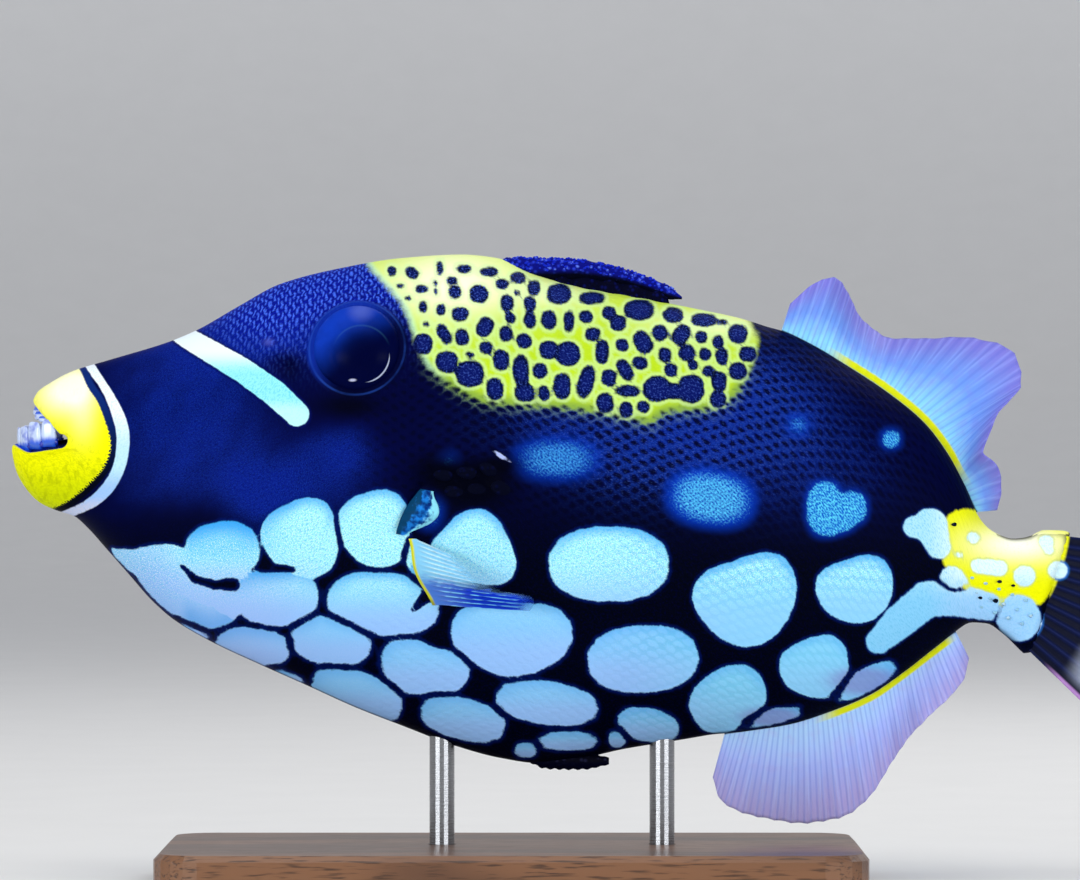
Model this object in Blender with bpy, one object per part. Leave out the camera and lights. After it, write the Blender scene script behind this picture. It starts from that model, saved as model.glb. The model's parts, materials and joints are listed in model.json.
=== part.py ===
# Clown triggerfish, life size, swimming slowly with its nose a little up, on a plain display stand.
# Sizes are in millimetres. x runs from the lower lip to the tail, y to the fish's right, z up from the floor.
import math

import bmesh
import bpy
import numpy as np
from mathutils import Matrix, Vector

MM = 0.001
GAP = 0.3
ORIGIN_X = 126.2

# The side outline of the body, as heights over the floor along x, with the mouth shut.
BACK_LINE = (
    (-0.2, 91.2), (0.6, 92.4), (1.8, 94.0), (4.3, 97.0), (7.7, 100.2), (12.2, 102.6), (19.4, 104.8),
    (31.8, 108.6), (37.0, 110.8), (45.4, 115.6), (53.6, 120.0), (65.8, 123.2), (78.0, 125.2),
    (90.0, 125.9), (97.0, 125.2), (104.0, 122.2), (112.6, 119.6), (125.4, 117.3), (137.0, 115.0),
    (145.4, 113.2), (153.2, 110.6), (160.6, 107.0), (166.2, 103.6), (175.8, 97.2), (182.2, 91.8),
    (187.0, 85.4), (190.2, 79.4), (193.2, 73.4), (196.4, 70.4), (200.2, 69.1), (203.0, 69.4),
    (206.4, 70.8), (213.0, 70.6),
)
BELLY_LINE = (
    (-0.2, 87.6), (0.4, 85.4), (1.5, 82.0), (3.6, 78.2), (5.7, 76.2), (9.0, 74.7), (12.4, 73.6),
    (15.4, 71.0), (18.6, 67.4), (23.6, 61.7), (27.8, 56.9), (32.2, 53.0), (40.4, 48.2), (49.4, 44.0),
    (58.6, 39.9), (69.0, 35.2), (77.7, 31.8), (89.4, 27.4), (97.7, 25.2), (105.0, 24.2),
    (113.0, 25.0), (122.4, 27.0), (134.1, 28.9), (144.0, 30.6), (155.4, 32.4), (163.4, 34.9),
    (171.6, 38.4), (178.4, 43.0), (184.0, 47.4), (188.6, 50.8), (192.0, 52.3), (195.0, 52.1),
    (198.0, 50.2), (202.0, 46.4), (207.0, 42.0),
)
HALF_WIDTH = (
    (-0.2, 1.0), (0.6, 3.2), (1.8, 5.2), (3.8, 7.0), (6.5, 8.4), (10.0, 9.5), (15.0, 10.7),
    (22.0, 12.4), (35.0, 15.4), (50.0, 18.6), (65.0, 21.0), (80.0, 23.0), (95.0, 24.0), (110.0, 24.0),
    (125.0, 22.7), (140.0, 20.2), (155.0, 16.6), (168.0, 13.0), (180.0, 9.6), (190.0, 6.8),
    (198.0, 5.0), (206.0, 3.9), (213.0, 3.6),
)
# How high the body is widest, as a share of its depth, and how sharp its belly and back are.
WIDEST = ((-0.2, 0.50), (30.0, 0.50), (70.0, 0.54), (120.0, 0.55), (180.0, 0.52), (213.0, 0.50))
BELLY_POWER = ((-0.2, 0.95), (12.0, 1.00), (40.0, 1.22), (150.0, 1.30), (195.0, 1.05), (213.0, 1.0))
BACK_POWER = ((-0.2, 0.95), (12.0, 1.00), (60.0, 1.08), (150.0, 1.20), (195.0, 1.05), (213.0, 1.0))
HEIGHT_POWER = 0.93
BODY_START = 0.1
BODY_END = 205.4
TAIL_LEAN = 0.29
LEAN_FROM = 184.0
RING_POINTS = 32
STATION_STEP = (0.55, 0.30, 5.2, 2.1)

# Planes that part the body, each as a point of the side view and a normal.
MUZZLE_CUT = ((11.8, 88.8), (0.962, -0.273))
GILL_CUT = ((80.6, 76.0), (0.9986, -0.0523))
TAIL_CUT = ((190.0, 63.0), (0.983, -0.182))

# The open mouth, seen from the side.
MOUTH_CORNER = (11.2, 89.0)
UPPER_LIP_SLOPE = -1.12
LOWER_LIP_SLOPE = 0.16
LOWER_LIP_DROP = 0.8
LIP_RADIUS = 1.15
LIP_INSET = 0.75
LIP_END_GAP = 0.4
LINE_SAMPLES = 80
LIP_FINENESS = 8
UPPER_LIP_FRONT = 4.7
LOWER_LIP_FRONT = 0.0
LOWER_LIP_RISE = 1.6
LOWER_LIP_FADE = 5.0
TEETH_A_JAW = 8
TOOTH_HEIGHT = 4.4
TOOTH_WIDTH = 2.5
TOOTH_THICK = 1.6
TOOTH_LEAN = 0.7
GUM_RADIUS = 0.85
GUM_RINGS = 9
GUM_RISE = 1.25
TEETH_END_GAP = 2.2
TEETH_SPREAD = 0.86
TOOTH_SET = 0.9
SIDE_TOOTH = 0.62
UPPER_TOOTH = 0.62
TOOTH_SHAPE = ((0.0, 0.95, 1.0), (0.65, 0.95, 0.8), (1.0, 0.55, 0.3))
LOWER_TEETH = (2.1, 2.5)
UPPER_TEETH = (6.2, 4.6)

# Eyes, nostrils and the scutes behind the gill opening.
EYE_AT = (69.6, 106.8)
EYE_RADIUS = 8.5
EYE_DEPTH = 6.0
ORBIT_RADIUS = 10.2
ORBIT_DEPTH = 6.9
EYE_SUNK = 2.5
EYE_TILT = 12.0
EYE_LONG = 0.96
EYE_FORWARD = 0.9
EYE_TURN = 0.6
NOSTRILS = ((50.6, 108.6), (53.8, 107.4))
NOSTRIL_RADIUS = 0.8
NOSTRIL_DEPTH = 1.6
SCUTE_START = (88.8, 82.2)
SCUTE_STEP = (4.6, 3.9)
SCUTE_SIZE = (2.2, 1.5)
SCUTE_HEIGHT = 0.6
SCUTE_ROWS = (3, 3)

# Fins: rays as ridges on a membrane, in half thicknesses.
MEMBRANE_HALF = 0.3
RAY_HALF = 0.62
PLEAT = 0.35
SCALLOP = 0.03
FIN_ROOT = 12.0
SWING_POWER = 1.6
SOFT_DORSAL_RAYS = 27
ANAL_RAYS = 23
CAUDAL_RAYS = 12
PECTORAL_RAYS = 14
SOFT_DORSAL_BASE = (153.8, 192.6)
ANAL_BASE = (142.6, 188.6)
# Per fin: share along the base, length in side view, angle in degrees, how far the tips swing to y.
SOFT_DORSAL_RAY = (
    (0.0, 6.0, 72, 0.5), (0.06, 12.2, 70, 1.5), (0.13, 14.9, 70, 3.5), (0.20, 13.4, 71, 7.5),
    (0.28, 10.9, 72, 12.0), (0.37, 10.3, 68, 15.0), (0.46, 14.4, 55, 13.5), (0.54, 20.4, 45, 8.5),
    (0.61, 23.6, 37, 3.5), (0.68, 20.6, 31, -1.5), (0.75, 16.6, 39, -5.5), (0.82, 11.6, 50, -7.0),
    (0.86, 6.8, 48, -6.0), (0.90, 7.9, 30, -3.5), (0.95, 6.9, 20, 0.0), (1.0, 4.6, 6, 2.0),
)
ANAL_RAY = (
    (0.0, 9.4, -105, 0.5), (0.06, 14.6, -106, 1.0), (0.14, 17.8, -101, 2.5), (0.22, 19.6, -95, 4.5),
    (0.32, 21.6, -88, 6.0), (0.42, 22.2, -83, 5.5), (0.52, 19.9, -80, 3.5), (0.62, 15.4, -79, 0.5),
    (0.72, 12.6, -80, -3.5), (0.80, 11.2, -78, -6.5), (0.88, 10.3, -72, -6.0), (0.95, 9.4, -68, -2.5),
    (1.0, 6.4, -64, 0.5),
)
CAUDAL_RAY = (
    (0.0, 38.0, -44, 5.0), (0.10, 43.0, -40, 5.5), (0.30, 46.6, -31, 6.5), (0.50, 47.4, -23, 7.0),
    (0.70, 46.4, -16, 6.5), (0.90, 43.2, -10, 5.5), (1.0, 38.6, -7, 5.0),
)
CAUDAL_ROOT_HALF = 2.6
CAUDAL_ROOT_FADE = 9.0
CAUDAL_INSET = 0.04
CAUDAL_NOTCH = 0.025
CAUDAL_SPLIT = 0.45
CAUDAL_RIDGES = (0.34, 0.28)
CAUDAL_ROWS = 7
EDGE_FIN_ROWS = 6
PECTORAL_TOP = (80.4, 69.6)
PECTORAL_BOTTOM = (85.0, 56.6)
PECTORAL_RAY = (
    (0.0, 18.6, -3, 11.0),
    (0.25, 21.2, -6, 14.0),
    (0.5, 22.0, -11, 14.0),
    (0.75, 19.6, -17, 11.0),
    (1.0, 14.6, -22, 7.0),
)
PECTORAL_ROOT = (0.14, 0.6, 2.4)
PECTORAL_HALF = (0.55, 0.34, 0.27)
PECTORAL_ROWS = 6

# The first dorsal fin lies folded back in its groove.
TRIGGER_LINE = ((97.6, 122.6), (104.0, 122.8), (112.0, 122.9), (120.0, 121.9), (128.0, 119.6), (134.0, 117.2))
TRIGGER_TALL = 2.7
TRIGGER_WIDE = 2.0
TRIGGER_KNOBS = 9
KNOB_RADIUS = 0.55
FOLDED_FIN = (100.0, 131.0)
FOLDED_FIN_HALF = 0.9
FOLDED_FIN_RAY = 0.35
TRIGGER_TAPER = 0.55
TRIGGER_RINGS = 10

# The stub of the pelvic bone at the low point of the belly.
PELVIC_LINE = ((103.0, 26.4), (106.5, 25.2), (111.0, 24.9), (115.5, 24.6), (119.4, 24.6))
PELVIC_TALL = (1.8, 2.1, 2.0, 1.6, 0.7)
PELVIC_WIDE = (1.2, 1.5, 1.6, 1.4, 0.7)
PELVIC_KNOBS = 5
PELVIC_KNOB_STEP = 2.7
PELVIC_KNOB = (0.7, 0.7, 0.9)
PELVIC_KNOB_LOW = 1.5

# The gill opening's flap, and rows of small spines on the tail stalk.
GILL_TOP = (82.4, 79.0)
GILL_BOTTOM = (77.6, 70.4)
GILL_FLAP_LONG = 6.4
GILL_FLAP_BOW = 0.9
GILL_FLAP_FALL = 0.12
GILL_FLAP_END = 0.45
GILL_FLAP_LIFT = 1.9
GILL_FLAP_SUNK = 0.9
GILL_FLAP_HALF = 0.42
SPINELET_ROWS = ((191.6, 61.4, 5), (192.6, 58.4, 5), (193.6, 55.6, 4))
SPINELET_STEP = 2.7
SPINELET_TALL = 1.3
SPINELET_RADIUS = 0.55
SPINELET_ROOT = 0.5
SPINELET_FALL = 0.42
SPINELET_HOOK = 0.7
SPINELET_BEND = (0.55, 0.16, 0.75)

# Stand.
BASE_LONG = 140.0
BASE_WIDE = 72.0
BASE_TALL = 8.0
BASE_X = 100.0
BASE_CORNER = 9.0
BASE_CHAMFER = 1.2
ROD_RADIUS = 2.5
ROD_X = (86.0, 130.0)
ROD_IN_BASE = 5.0
ROD_IN_BODY = 6.5

SKIN_BLUE = (0.01, 0.02, 0.16, 1)
LIP_YELLOW = (0.85, 0.82, 0.02, 1)
TOOTH_WHITE = (0.75, 0.80, 0.85, 1)
EYE_BLACK = (0.005, 0.006, 0.02, 1)
FIN_LAVENDER = (0.45, 0.50, 0.85, 1)
TAIL_BLACK = (0.01, 0.01, 0.03, 1)
WALNUT = (0.12, 0.06, 0.035, 1)
STEEL = (0.6, 0.6, 0.62, 1)


def clear_scene():
    for obj in list(bpy.data.objects):
        bpy.data.objects.remove(obj)


def smooth_line(points):
    """A curve through hand-set points that never overshoots them."""
    x, y = np.array(points, float).T
    step = np.diff(x)
    slope = np.diff(y) / step
    tangent = np.empty_like(x)
    tangent[0] = slope[0]
    tangent[-1] = slope[-1]
    before = 2 * step[1:] + step[:-1]
    after = step[1:] + 2 * step[:-1]
    for i in range(1, len(x) - 1):
        turns = slope[i - 1] * slope[i] <= 0
        weight = before[i - 1] + after[i - 1]
        tangent[i] = 0 if turns else weight / (before[i - 1] / slope[i - 1] + after[i - 1] / slope[i])

    def value(at):
        at = np.clip(at, x[0], x[-1])
        i = np.clip(np.searchsorted(x, at) - 1, 0, len(step) - 1)
        t = (at - x[i]) / step[i]
        rise = y[i] * (1 + 2 * t) * (1 - t) ** 2 + y[i + 1] * t * t * (3 - 2 * t)
        return rise + step[i] * t * (1 - t) * (tangent[i] * (1 - t) - tangent[i + 1] * t)

    return value


def smooth_step(low, high, at):
    t = np.clip((at - low) / (high - low), 0, 1)
    return t * t * (3 - 2 * t)


back = smooth_line(BACK_LINE)
belly = smooth_line(BELLY_LINE)
half_width = smooth_line(HALF_WIDTH)
widest = smooth_line(WIDEST)
belly_power = smooth_line(BELLY_POWER)
back_power = smooth_line(BACK_POWER)


def body_ring(x, count):
    """One cross-section of the body. On the tail stalk the sections lean with the bent tail."""
    lean = TAIL_LEAN * smooth_step(LEAN_FROM, BODY_END, x)
    middle = (back(x) + belly(x)) / 2
    top_x = x
    low_x = x
    for _ in range(8):
        top_x = x + lean * (back(top_x) - middle)
        low_x = x + lean * (belly(low_x) - middle)
    top = np.array([top_x, back(top_x)])
    low = np.array([low_x, belly(low_x)])
    turn = 2 * math.pi * np.arange(count) / count
    up = np.sin(turn)
    side = np.cos(turn)
    level = widest(x)
    reach = np.where(up > 0, 1 - level, level)
    share = level + np.sign(up) * reach * np.abs(up) ** HEIGHT_POWER
    power = np.where(up > 0, back_power(x), belly_power(x))
    out = half_width(x) * np.sign(side) * np.abs(side) ** power
    place = low + np.outer(share, top - low)
    return np.column_stack([place[:, 0], out, place[:, 1]])


def side_at(x, z):
    """Half width of the body at a point of the side view."""
    low = belly(x)
    tall = back(x) - low
    level = widest(x)
    above = (z - low) / tall - level
    reach = 1 - level if above > 0 else level
    up = min(abs(above / reach), 1) ** (1 / HEIGHT_POWER)
    power = back_power(x) if above > 0 else belly_power(x)
    return half_width(x) * max(1 - up * up, 0) ** (power / 2)


def skin_normal(x, z, side):
    """Outward direction of the body's skin at a point of the side view."""
    d = 0.5
    along = (side_at(x + d, z) - side_at(x - d, z)) / (2 * d)
    upward = (side_at(x, z + d) - side_at(x, z - d)) / (2 * d)
    return Vector((-along, side, -upward)).normalized()


def body_stations():
    """Places along the body for its sections: close at the lips and the tail, wide between."""
    places = [BODY_START]
    while places[-1] < BODY_END:
        x = places[-1]
        first, growth, most, at_tail = STATION_STEP
        near_tail = smooth_step(150, 185, x)
        places.append(x + min(first + growth * x, most) * (1 - near_tail) + at_tail * near_tail)
    places[-1] = BODY_END
    return places


def to_mesh(name, points, faces):
    """A mesh object from points in millimetres, with its faces turned outwards."""
    mesh = bpy.data.meshes.new(name)
    placed = (np.array(points, float) - (ORIGIN_X, 0, 0)) * MM
    mesh.from_pydata([tuple(p) for p in placed], [], [tuple(f) for f in faces])
    bm = bmesh.new()
    bm.from_mesh(mesh)
    bmesh.ops.remove_doubles(bm, verts=bm.verts, dist=1e-6)
    bmesh.ops.recalc_face_normals(bm, faces=bm.faces)
    bm.to_mesh(mesh)
    bm.free()
    obj = bpy.data.objects.new(name, mesh)
    bpy.context.scene.collection.objects.link(obj)
    return obj


def loft(name, rings):
    """A closed skin over rings of equal count, with flat ends."""
    count = len(rings[0])
    points = np.concatenate(rings)
    faces = []
    for r in range(len(rings) - 1):
        for k in range(count):
            a = r * count + k
            b = r * count + (k + 1) % count
            faces.append((a, b, b + count, a + count))
    faces.append(tuple(range(count)))
    faces.append(tuple(range(len(points) - count, len(points))))
    return to_mesh(name, points, faces)


def tube(name, path, tall, wide, sides=8):
    """A tube with an oval section along a path; it closes to small ends."""
    path = np.array(path, float)
    rings = []
    for i, centre in enumerate(path):
        ahead = path[min(i + 1, len(path) - 1)] - path[max(i - 1, 0)]
        ahead /= np.linalg.norm(ahead)
        across = np.cross(ahead, (0.0, 0.0, 1.0))
        across /= np.linalg.norm(across)
        up = np.cross(across, ahead)
        turn = 2 * math.pi * np.arange(sides) / sides
        rings.append(centre + np.outer(np.cos(turn), across * wide[i]) + np.outer(np.sin(turn), up * tall[i]))
    return loft(name, rings)


def ball(name, centre, radii, axis=None, rings=10, sides=20):
    """An ellipsoid whose third radius lies along an axis."""
    turned = Vector((0, 0, 1)) if axis is None else axis
    matrix = turned.to_track_quat("Z", "X").to_matrix()
    points = []
    for i in range(1, rings):
        high = math.pi * i / rings
        for k in range(sides):
            turn = 2 * math.pi * k / sides
            flat = math.sin(high)
            unit = (flat * math.cos(turn), flat * math.sin(turn), math.cos(high))
            local = Vector([size * part for size, part in zip(radii, unit)])
            points.append(Vector(centre) + matrix @ local)
    top = len(points)
    points.append(Vector(centre) + matrix @ Vector((0, 0, radii[2])))
    points.append(Vector(centre) - matrix @ Vector((0, 0, radii[2])))
    faces = []
    for i in range(rings - 2):
        for k in range(sides):
            a = i * sides + k
            b = i * sides + (k + 1) % sides
            faces.append((a, b, b + sides, a + sides))
    for k in range(sides):
        nxt = (k + 1) % sides
        faces.append((top, nxt, k))
        faces.append((top + 1, (rings - 2) * sides + k, (rings - 2) * sides + nxt))
    return to_mesh(name, [tuple(p) for p in points], faces)


def rod(name, x, y, low, high, radius, sides=18):
    turn = 2 * math.pi * np.arange(sides) / sides
    ring = np.column_stack([x + radius * np.cos(turn), y + radius * np.sin(turn), np.full(sides, low)])
    return loft(name, [ring, ring + (0, 0, high - low)])


def keep_largest(obj):
    """Keeps the largest closed surface of a mesh."""
    bm = bmesh.new()
    bm.from_mesh(obj.data)
    bmesh.ops.remove_doubles(bm, verts=bm.verts, dist=2e-6)
    bmesh.ops.dissolve_degenerate(bm, edges=bm.edges, dist=2e-6)
    bmesh.ops.triangulate(bm, faces=bm.faces)
    left = set(bm.faces)
    islands = []
    while left:
        seed = left.pop()
        island = {seed}
        edge = [seed]
        while edge:
            for e in edge.pop().edges:
                for face in e.link_faces:
                    if face in left:
                        left.remove(face)
                        island.add(face)
                        edge.append(face)
        islands.append(island)
    largest = max(islands, key=lambda island: sum(f.calc_area() for f in island))
    bmesh.ops.delete(bm, geom=[f for f in bm.faces if f not in largest], context="FACES")
    bm.to_mesh(obj.data)
    bm.free()
    return obj


def boolean(obj, others, operation):
    """Joins the others to the object, or cuts them from it, and removes them."""
    group = bpy.data.collections.new("pieces")
    bpy.context.scene.collection.children.link(group)
    for other in others:
        bpy.context.scene.collection.objects.unlink(other)
        group.objects.link(other)
    modifier = obj.modifiers.new(operation.lower(), "BOOLEAN")
    modifier.operation = operation
    modifier.operand_type = "COLLECTION"
    modifier.collection = group
    for solver in ("EXACT", "MANIFOLD"):
        modifier.solver = solver
        bpy.context.view_layer.update()
        graph = bpy.context.evaluated_depsgraph_get()
        made = bpy.data.meshes.new_from_object(obj.evaluated_get(graph))
        if made.polygons:
            break
    obj.modifiers.clear()
    obj.data = made
    for other in list(group.objects):
        bpy.data.objects.remove(other)
    bpy.data.collections.remove(group)
    return keep_largest(obj)


def copy_of(obj, name, swell=0.0):
    """A copy of a mesh object, pushed outwards along its normals."""
    twin = bpy.data.objects.new(name, obj.data.copy())
    bpy.context.scene.collection.objects.link(twin)
    if swell:
        bm = bmesh.new()
        bm.from_mesh(twin.data)
        bm.normal_update()
        moved = [v.normal * swell * MM for v in bm.verts]
        for v, step in zip(bm.verts, moved):
            v.co += step
        bm.to_mesh(twin.data)
        bm.free()
    return twin


def cut_away(obj, at, normal):
    """Removes what lies past a plane of the side view and closes the cut."""
    bm = bmesh.new()
    bm.from_mesh(obj.data)
    place = Vector((at[0] - ORIGIN_X, 0, at[1])) * MM
    direction = Vector((normal[0], 0, normal[1])).normalized()
    geometry = bm.verts[:] + bm.edges[:] + bm.faces[:]
    bmesh.ops.bisect_plane(
        bm, geom=geometry, dist=1e-7, plane_co=place, plane_no=direction, clear_outer=True)
    open_edges = [e for e in bm.edges if e.is_boundary]
    bmesh.ops.edgeloop_fill(bm, edges=open_edges)
    bmesh.ops.triangulate(bm, faces=bm.faces)
    bmesh.ops.recalc_face_normals(bm, faces=bm.faces)
    bm.to_mesh(obj.data)
    bm.free()


def part_of_body(name, body, before=None, after=None):
    """The stretch of the body between two parting planes, each set back by half the gap."""
    obj = copy_of(body, name)
    if before:
        at, normal = before
        edge = (at[0] + normal[0] * GAP / 2, at[1] + normal[1] * GAP / 2)
        cut_away(obj, edge, (-normal[0], -normal[1]))
    if after:
        at, normal = after
        edge = (at[0] - normal[0] * GAP / 2, at[1] - normal[1] * GAP / 2)
        cut_away(obj, edge, normal)
    return obj


def finish(obj, colour, roughness, metallic=0.0):
    material = bpy.data.materials.new(obj.name)
    material.use_nodes = True
    shader = material.node_tree.nodes["Principled BSDF"]
    shader.inputs["Base Color"].default_value = colour
    shader.inputs["Roughness"].default_value = roughness
    shader.inputs["Metallic"].default_value = metallic
    obj.data.materials.clear()
    obj.data.materials.append(material)
    obj.data.shade_smooth()
    obj.data.set_sharp_from_angle(angle=math.radians(35))
    return obj


def lip_path(edge, front, inset, count=17):
    """The middle line of a lip: round the front of a jaw, from one mouth corner to the other."""
    xs = front + (MOUTH_CORNER[0] - LIP_END_GAP - front) * np.linspace(0, 1, LINE_SAMPLES) ** 2
    side = np.array([side_at(x, edge(x)) for x in xs])
    outline = np.column_stack([np.concatenate([xs[::-1], xs]), np.concatenate([-side[::-1], side])])
    run = np.concatenate([[0], np.cumsum(np.hypot(*np.diff(outline, axis=0).T))])
    even = np.linspace(0, run[-1], LIP_FINENESS * count + 1)
    line = np.column_stack([np.interp(even, run, outline[:, k]) for k in (0, 1)])
    ahead = np.gradient(line, axis=0)
    ahead /= np.linalg.norm(ahead, axis=1, keepdims=True)
    line += inset * np.column_stack([ahead[:, 1], -ahead[:, 0]])
    line = line[::LIP_FINENESS]
    return [(x, y, edge(x)) for x, y in line]


def upper_edge(x):
    return MOUTH_CORNER[1] + UPPER_LIP_SLOPE * (x - MOUTH_CORNER[0])


def lower_edge(x):
    return MOUTH_CORNER[1] - LOWER_LIP_DROP + LOWER_LIP_SLOPE * (x - MOUTH_CORNER[0])


def tooth(name, root, outward, height, width, way):
    """A chisel tooth: broad across, thin front to back, with a narrow edge."""
    outward = Vector(outward).normalized()
    across = outward.cross(Vector((0, 0, 1))).normalized()
    rings = []
    for share, broad, deep in TOOTH_SHAPE:
        centre = Vector(root) + Vector((0, 0, way * height * share)) + outward * (TOOTH_LEAN * share)
        ring = []
        for k in range(6):
            turn = 2 * math.pi * k / 6
            wide = across * (width / 2 * broad * math.cos(turn))
            ring.append(centre + wide + outward * (TOOTH_THICK / 2 * deep * math.sin(turn)))
        rings.append(np.array([tuple(p) for p in ring]))
    return loft(name, rings)


def teeth_row(name, edge, way, front, inset, height):
    """A row of chisel teeth on a low gum that follows the jaw inside the lip."""
    reach = half_width(MOUTH_CORNER[0]) - inset
    length = MOUTH_CORNER[0] - TEETH_END_GAP - front
    gum_line = []
    for i in range(GUM_RINGS):
        turn = math.pi * i / (GUM_RINGS - 1)
        x = front + length * (1 - math.sin(turn))
        gum_line.append((x, -reach * math.cos(turn), edge(x) + way * GUM_RISE))
    size = [GUM_RADIUS] * GUM_RINGS
    gum = tube(name, gum_line, size, size, sides=5)
    pieces = []
    for i in range(TEETH_A_JAW):
        turn = math.pi * (i + 0.5) / TEETH_A_JAW
        turn = math.pi / 2 + (turn - math.pi / 2) * TEETH_SPREAD
        x = front + length * (1 - math.sin(turn))
        root = (x, -reach * math.cos(turn), edge(x) + way * TOOTH_SET)
        outward = (-math.sin(turn), -math.cos(turn), 0)
        tall = height * (SIDE_TOOTH + (1 - SIDE_TOOTH) * math.sin(turn) ** 2)
        pieces.append(tooth(f"tooth_{i}", root, outward, tall, TOOTH_WIDTH, way))
    return boolean(gum, pieces, "UNION")


def make_jaws(body):
    """The yellow muzzle: upper and lower jaw parted by the open mouth, each with a rolled lip and teeth."""
    corner_up = (MOUTH_CORNER[0], MOUTH_CORNER[1] + GAP / 2)
    corner_low = (MOUTH_CORNER[0], MOUTH_CORNER[1] - GAP / 2)
    upper = part_of_body("upper_jaw", body, after=MUZZLE_CUT)
    cut_away(upper, corner_up, (0, -1))
    cut_away(upper, corner_up, (UPPER_LIP_SLOPE, -1))
    lower = part_of_body("lower_jaw", body, after=MUZZLE_CUT)
    cut_away(lower, corner_low, (0, 1))
    cut_away(lower, (MOUTH_CORNER[0], lower_edge(MOUTH_CORNER[0])), (-LOWER_LIP_SLOPE, 1))

    path = lip_path(lambda x: upper_edge(x) + LIP_RADIUS * 0.9, UPPER_LIP_FRONT, LIP_RADIUS * LIP_INSET)
    size = [LIP_RADIUS] * len(path)
    boolean(upper, [tube("roll", path, size, size)], "UNION")

    path = lip_path(lambda x: lower_edge(x) - LIP_RADIUS * 0.8, LOWER_LIP_FRONT, LIP_RADIUS * LIP_INSET)
    rise = 1 - smooth_step(0, LOWER_LIP_FADE, np.array([x for x, _, _ in path]))
    path = [(x, y, z + LOWER_LIP_RISE * up) for (x, y, z), up in zip(path, rise)]
    boolean(lower, [tube("roll", path, LIP_RADIUS + 0.5 * LOWER_LIP_RISE * rise, size)], "UNION")
    return upper, lower


def make_teeth(upper, lower):
    """Both rows of teeth, trimmed where they come out of the lips."""
    top = teeth_row("teeth_upper", upper_edge, -1, *UPPER_TEETH, TOOTH_HEIGHT * UPPER_TOOTH)
    low = teeth_row("teeth_lower", lower_edge, 1, *LOWER_TEETH, TOOTH_HEIGHT)
    boolean(top, [copy_of(upper, "upper_room", GAP)], "DIFFERENCE")
    boolean(low, [copy_of(lower, "lower_room", GAP)], "DIFFERENCE")
    return top, low


def eye_frame(side):
    """Where an eye sits, and the way it looks."""
    x, z = EYE_AT
    surface = Vector((x, side * side_at(x, z), z))
    normal = skin_normal(x, z, side)
    tilt = math.radians(EYE_TILT)
    axis = Vector((normal.x * EYE_TURN, side * math.cos(tilt), math.sin(tilt))).normalized()
    return surface - axis * EYE_SUNK, axis


def make_head(body):
    """The head: brow, cheek, the raised orbits with their sockets, and a pair of nostrils on each side."""
    head = part_of_body("head", body, before=MUZZLE_CUT, after=GILL_CUT)
    orbits = []
    sockets = []
    for side in (-1, 1):
        centre, axis = eye_frame(side)
        orbits.append(ball("orbit", centre, (ORBIT_RADIUS * EYE_LONG, ORBIT_RADIUS, ORBIT_DEPTH), axis))
        ball_centre = centre + axis * EYE_FORWARD
        grown = (EYE_RADIUS * EYE_LONG + GAP, EYE_RADIUS + GAP, EYE_DEPTH + GAP)
        sockets.append(ball("socket", ball_centre, grown, axis))
        for x, z in NOSTRILS:
            normal = skin_normal(x, z, side)
            mouth = Vector((x, side * side_at(x, z), z))
            deep = (NOSTRIL_RADIUS, NOSTRIL_RADIUS, NOSTRIL_DEPTH)
            sockets.append(ball("nostril", mouth, deep, normal, rings=5, sides=8))
    boolean(head, orbits, "UNION")
    return boolean(head, sockets, "DIFFERENCE")


def make_eye(side):
    centre, axis = eye_frame(side)
    name = "eye_left" if side < 0 else "eye_right"
    return ball(name, centre + axis * EYE_FORWARD, (EYE_RADIUS * EYE_LONG, EYE_RADIUS, EYE_DEPTH), axis)


def make_torso(body):
    """The trunk, with the bony scutes behind each gill opening and two sockets for the stand's rods."""
    torso = part_of_body("torso", body, before=GILL_CUT, after=TAIL_CUT)
    scutes = []
    for side in (-1, 1):
        for row, count in enumerate(SCUTE_ROWS):
            for column in range(count):
                x = SCUTE_START[0] + SCUTE_STEP[0] * (column + 0.5 * (row % 2) - 0.5)
                z = SCUTE_START[1] - SCUTE_STEP[1] * row + 0.5 * column
                normal = skin_normal(x, z, side)
                place = Vector((x, side * side_at(x, z), z)) - normal * 0.1
                size = (SCUTE_SIZE[1], SCUTE_SIZE[0], SCUTE_HEIGHT)
                scutes.append(ball("scute", place, size, normal, rings=4, sides=9))
    boolean(torso, scutes, "UNION")
    holes = []
    for x in ROD_X:
        holes.append(rod("hole", x, 0, belly(x) - 4, belly(x) + ROD_IN_BODY + GAP, ROD_RADIUS + GAP))
    return boolean(torso, holes, "DIFFERENCE")


def make_tail_stalk(body):
    """The tail stalk, with rows of small spines that curve forwards on each side."""
    stalk = part_of_body("tail_stalk", body, before=TAIL_CUT)
    spines = []
    for side in (-1, 1):
        for x0, z0, count in SPINELET_ROWS:
            for i in range(count):
                x = x0 + SPINELET_STEP * i
                z = z0 - SPINELET_FALL * SPINELET_STEP * i
                out = side_at(x, z)
                root = Vector((x, side * (out - SPINELET_ROOT), z))
                tip = Vector((x - SPINELET_HOOK, side * (out + SPINELET_TALL), z))
                spines.append(spinelet(root, tip, SPINELET_RADIUS))
    return boolean(stalk, spines, "UNION")


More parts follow.
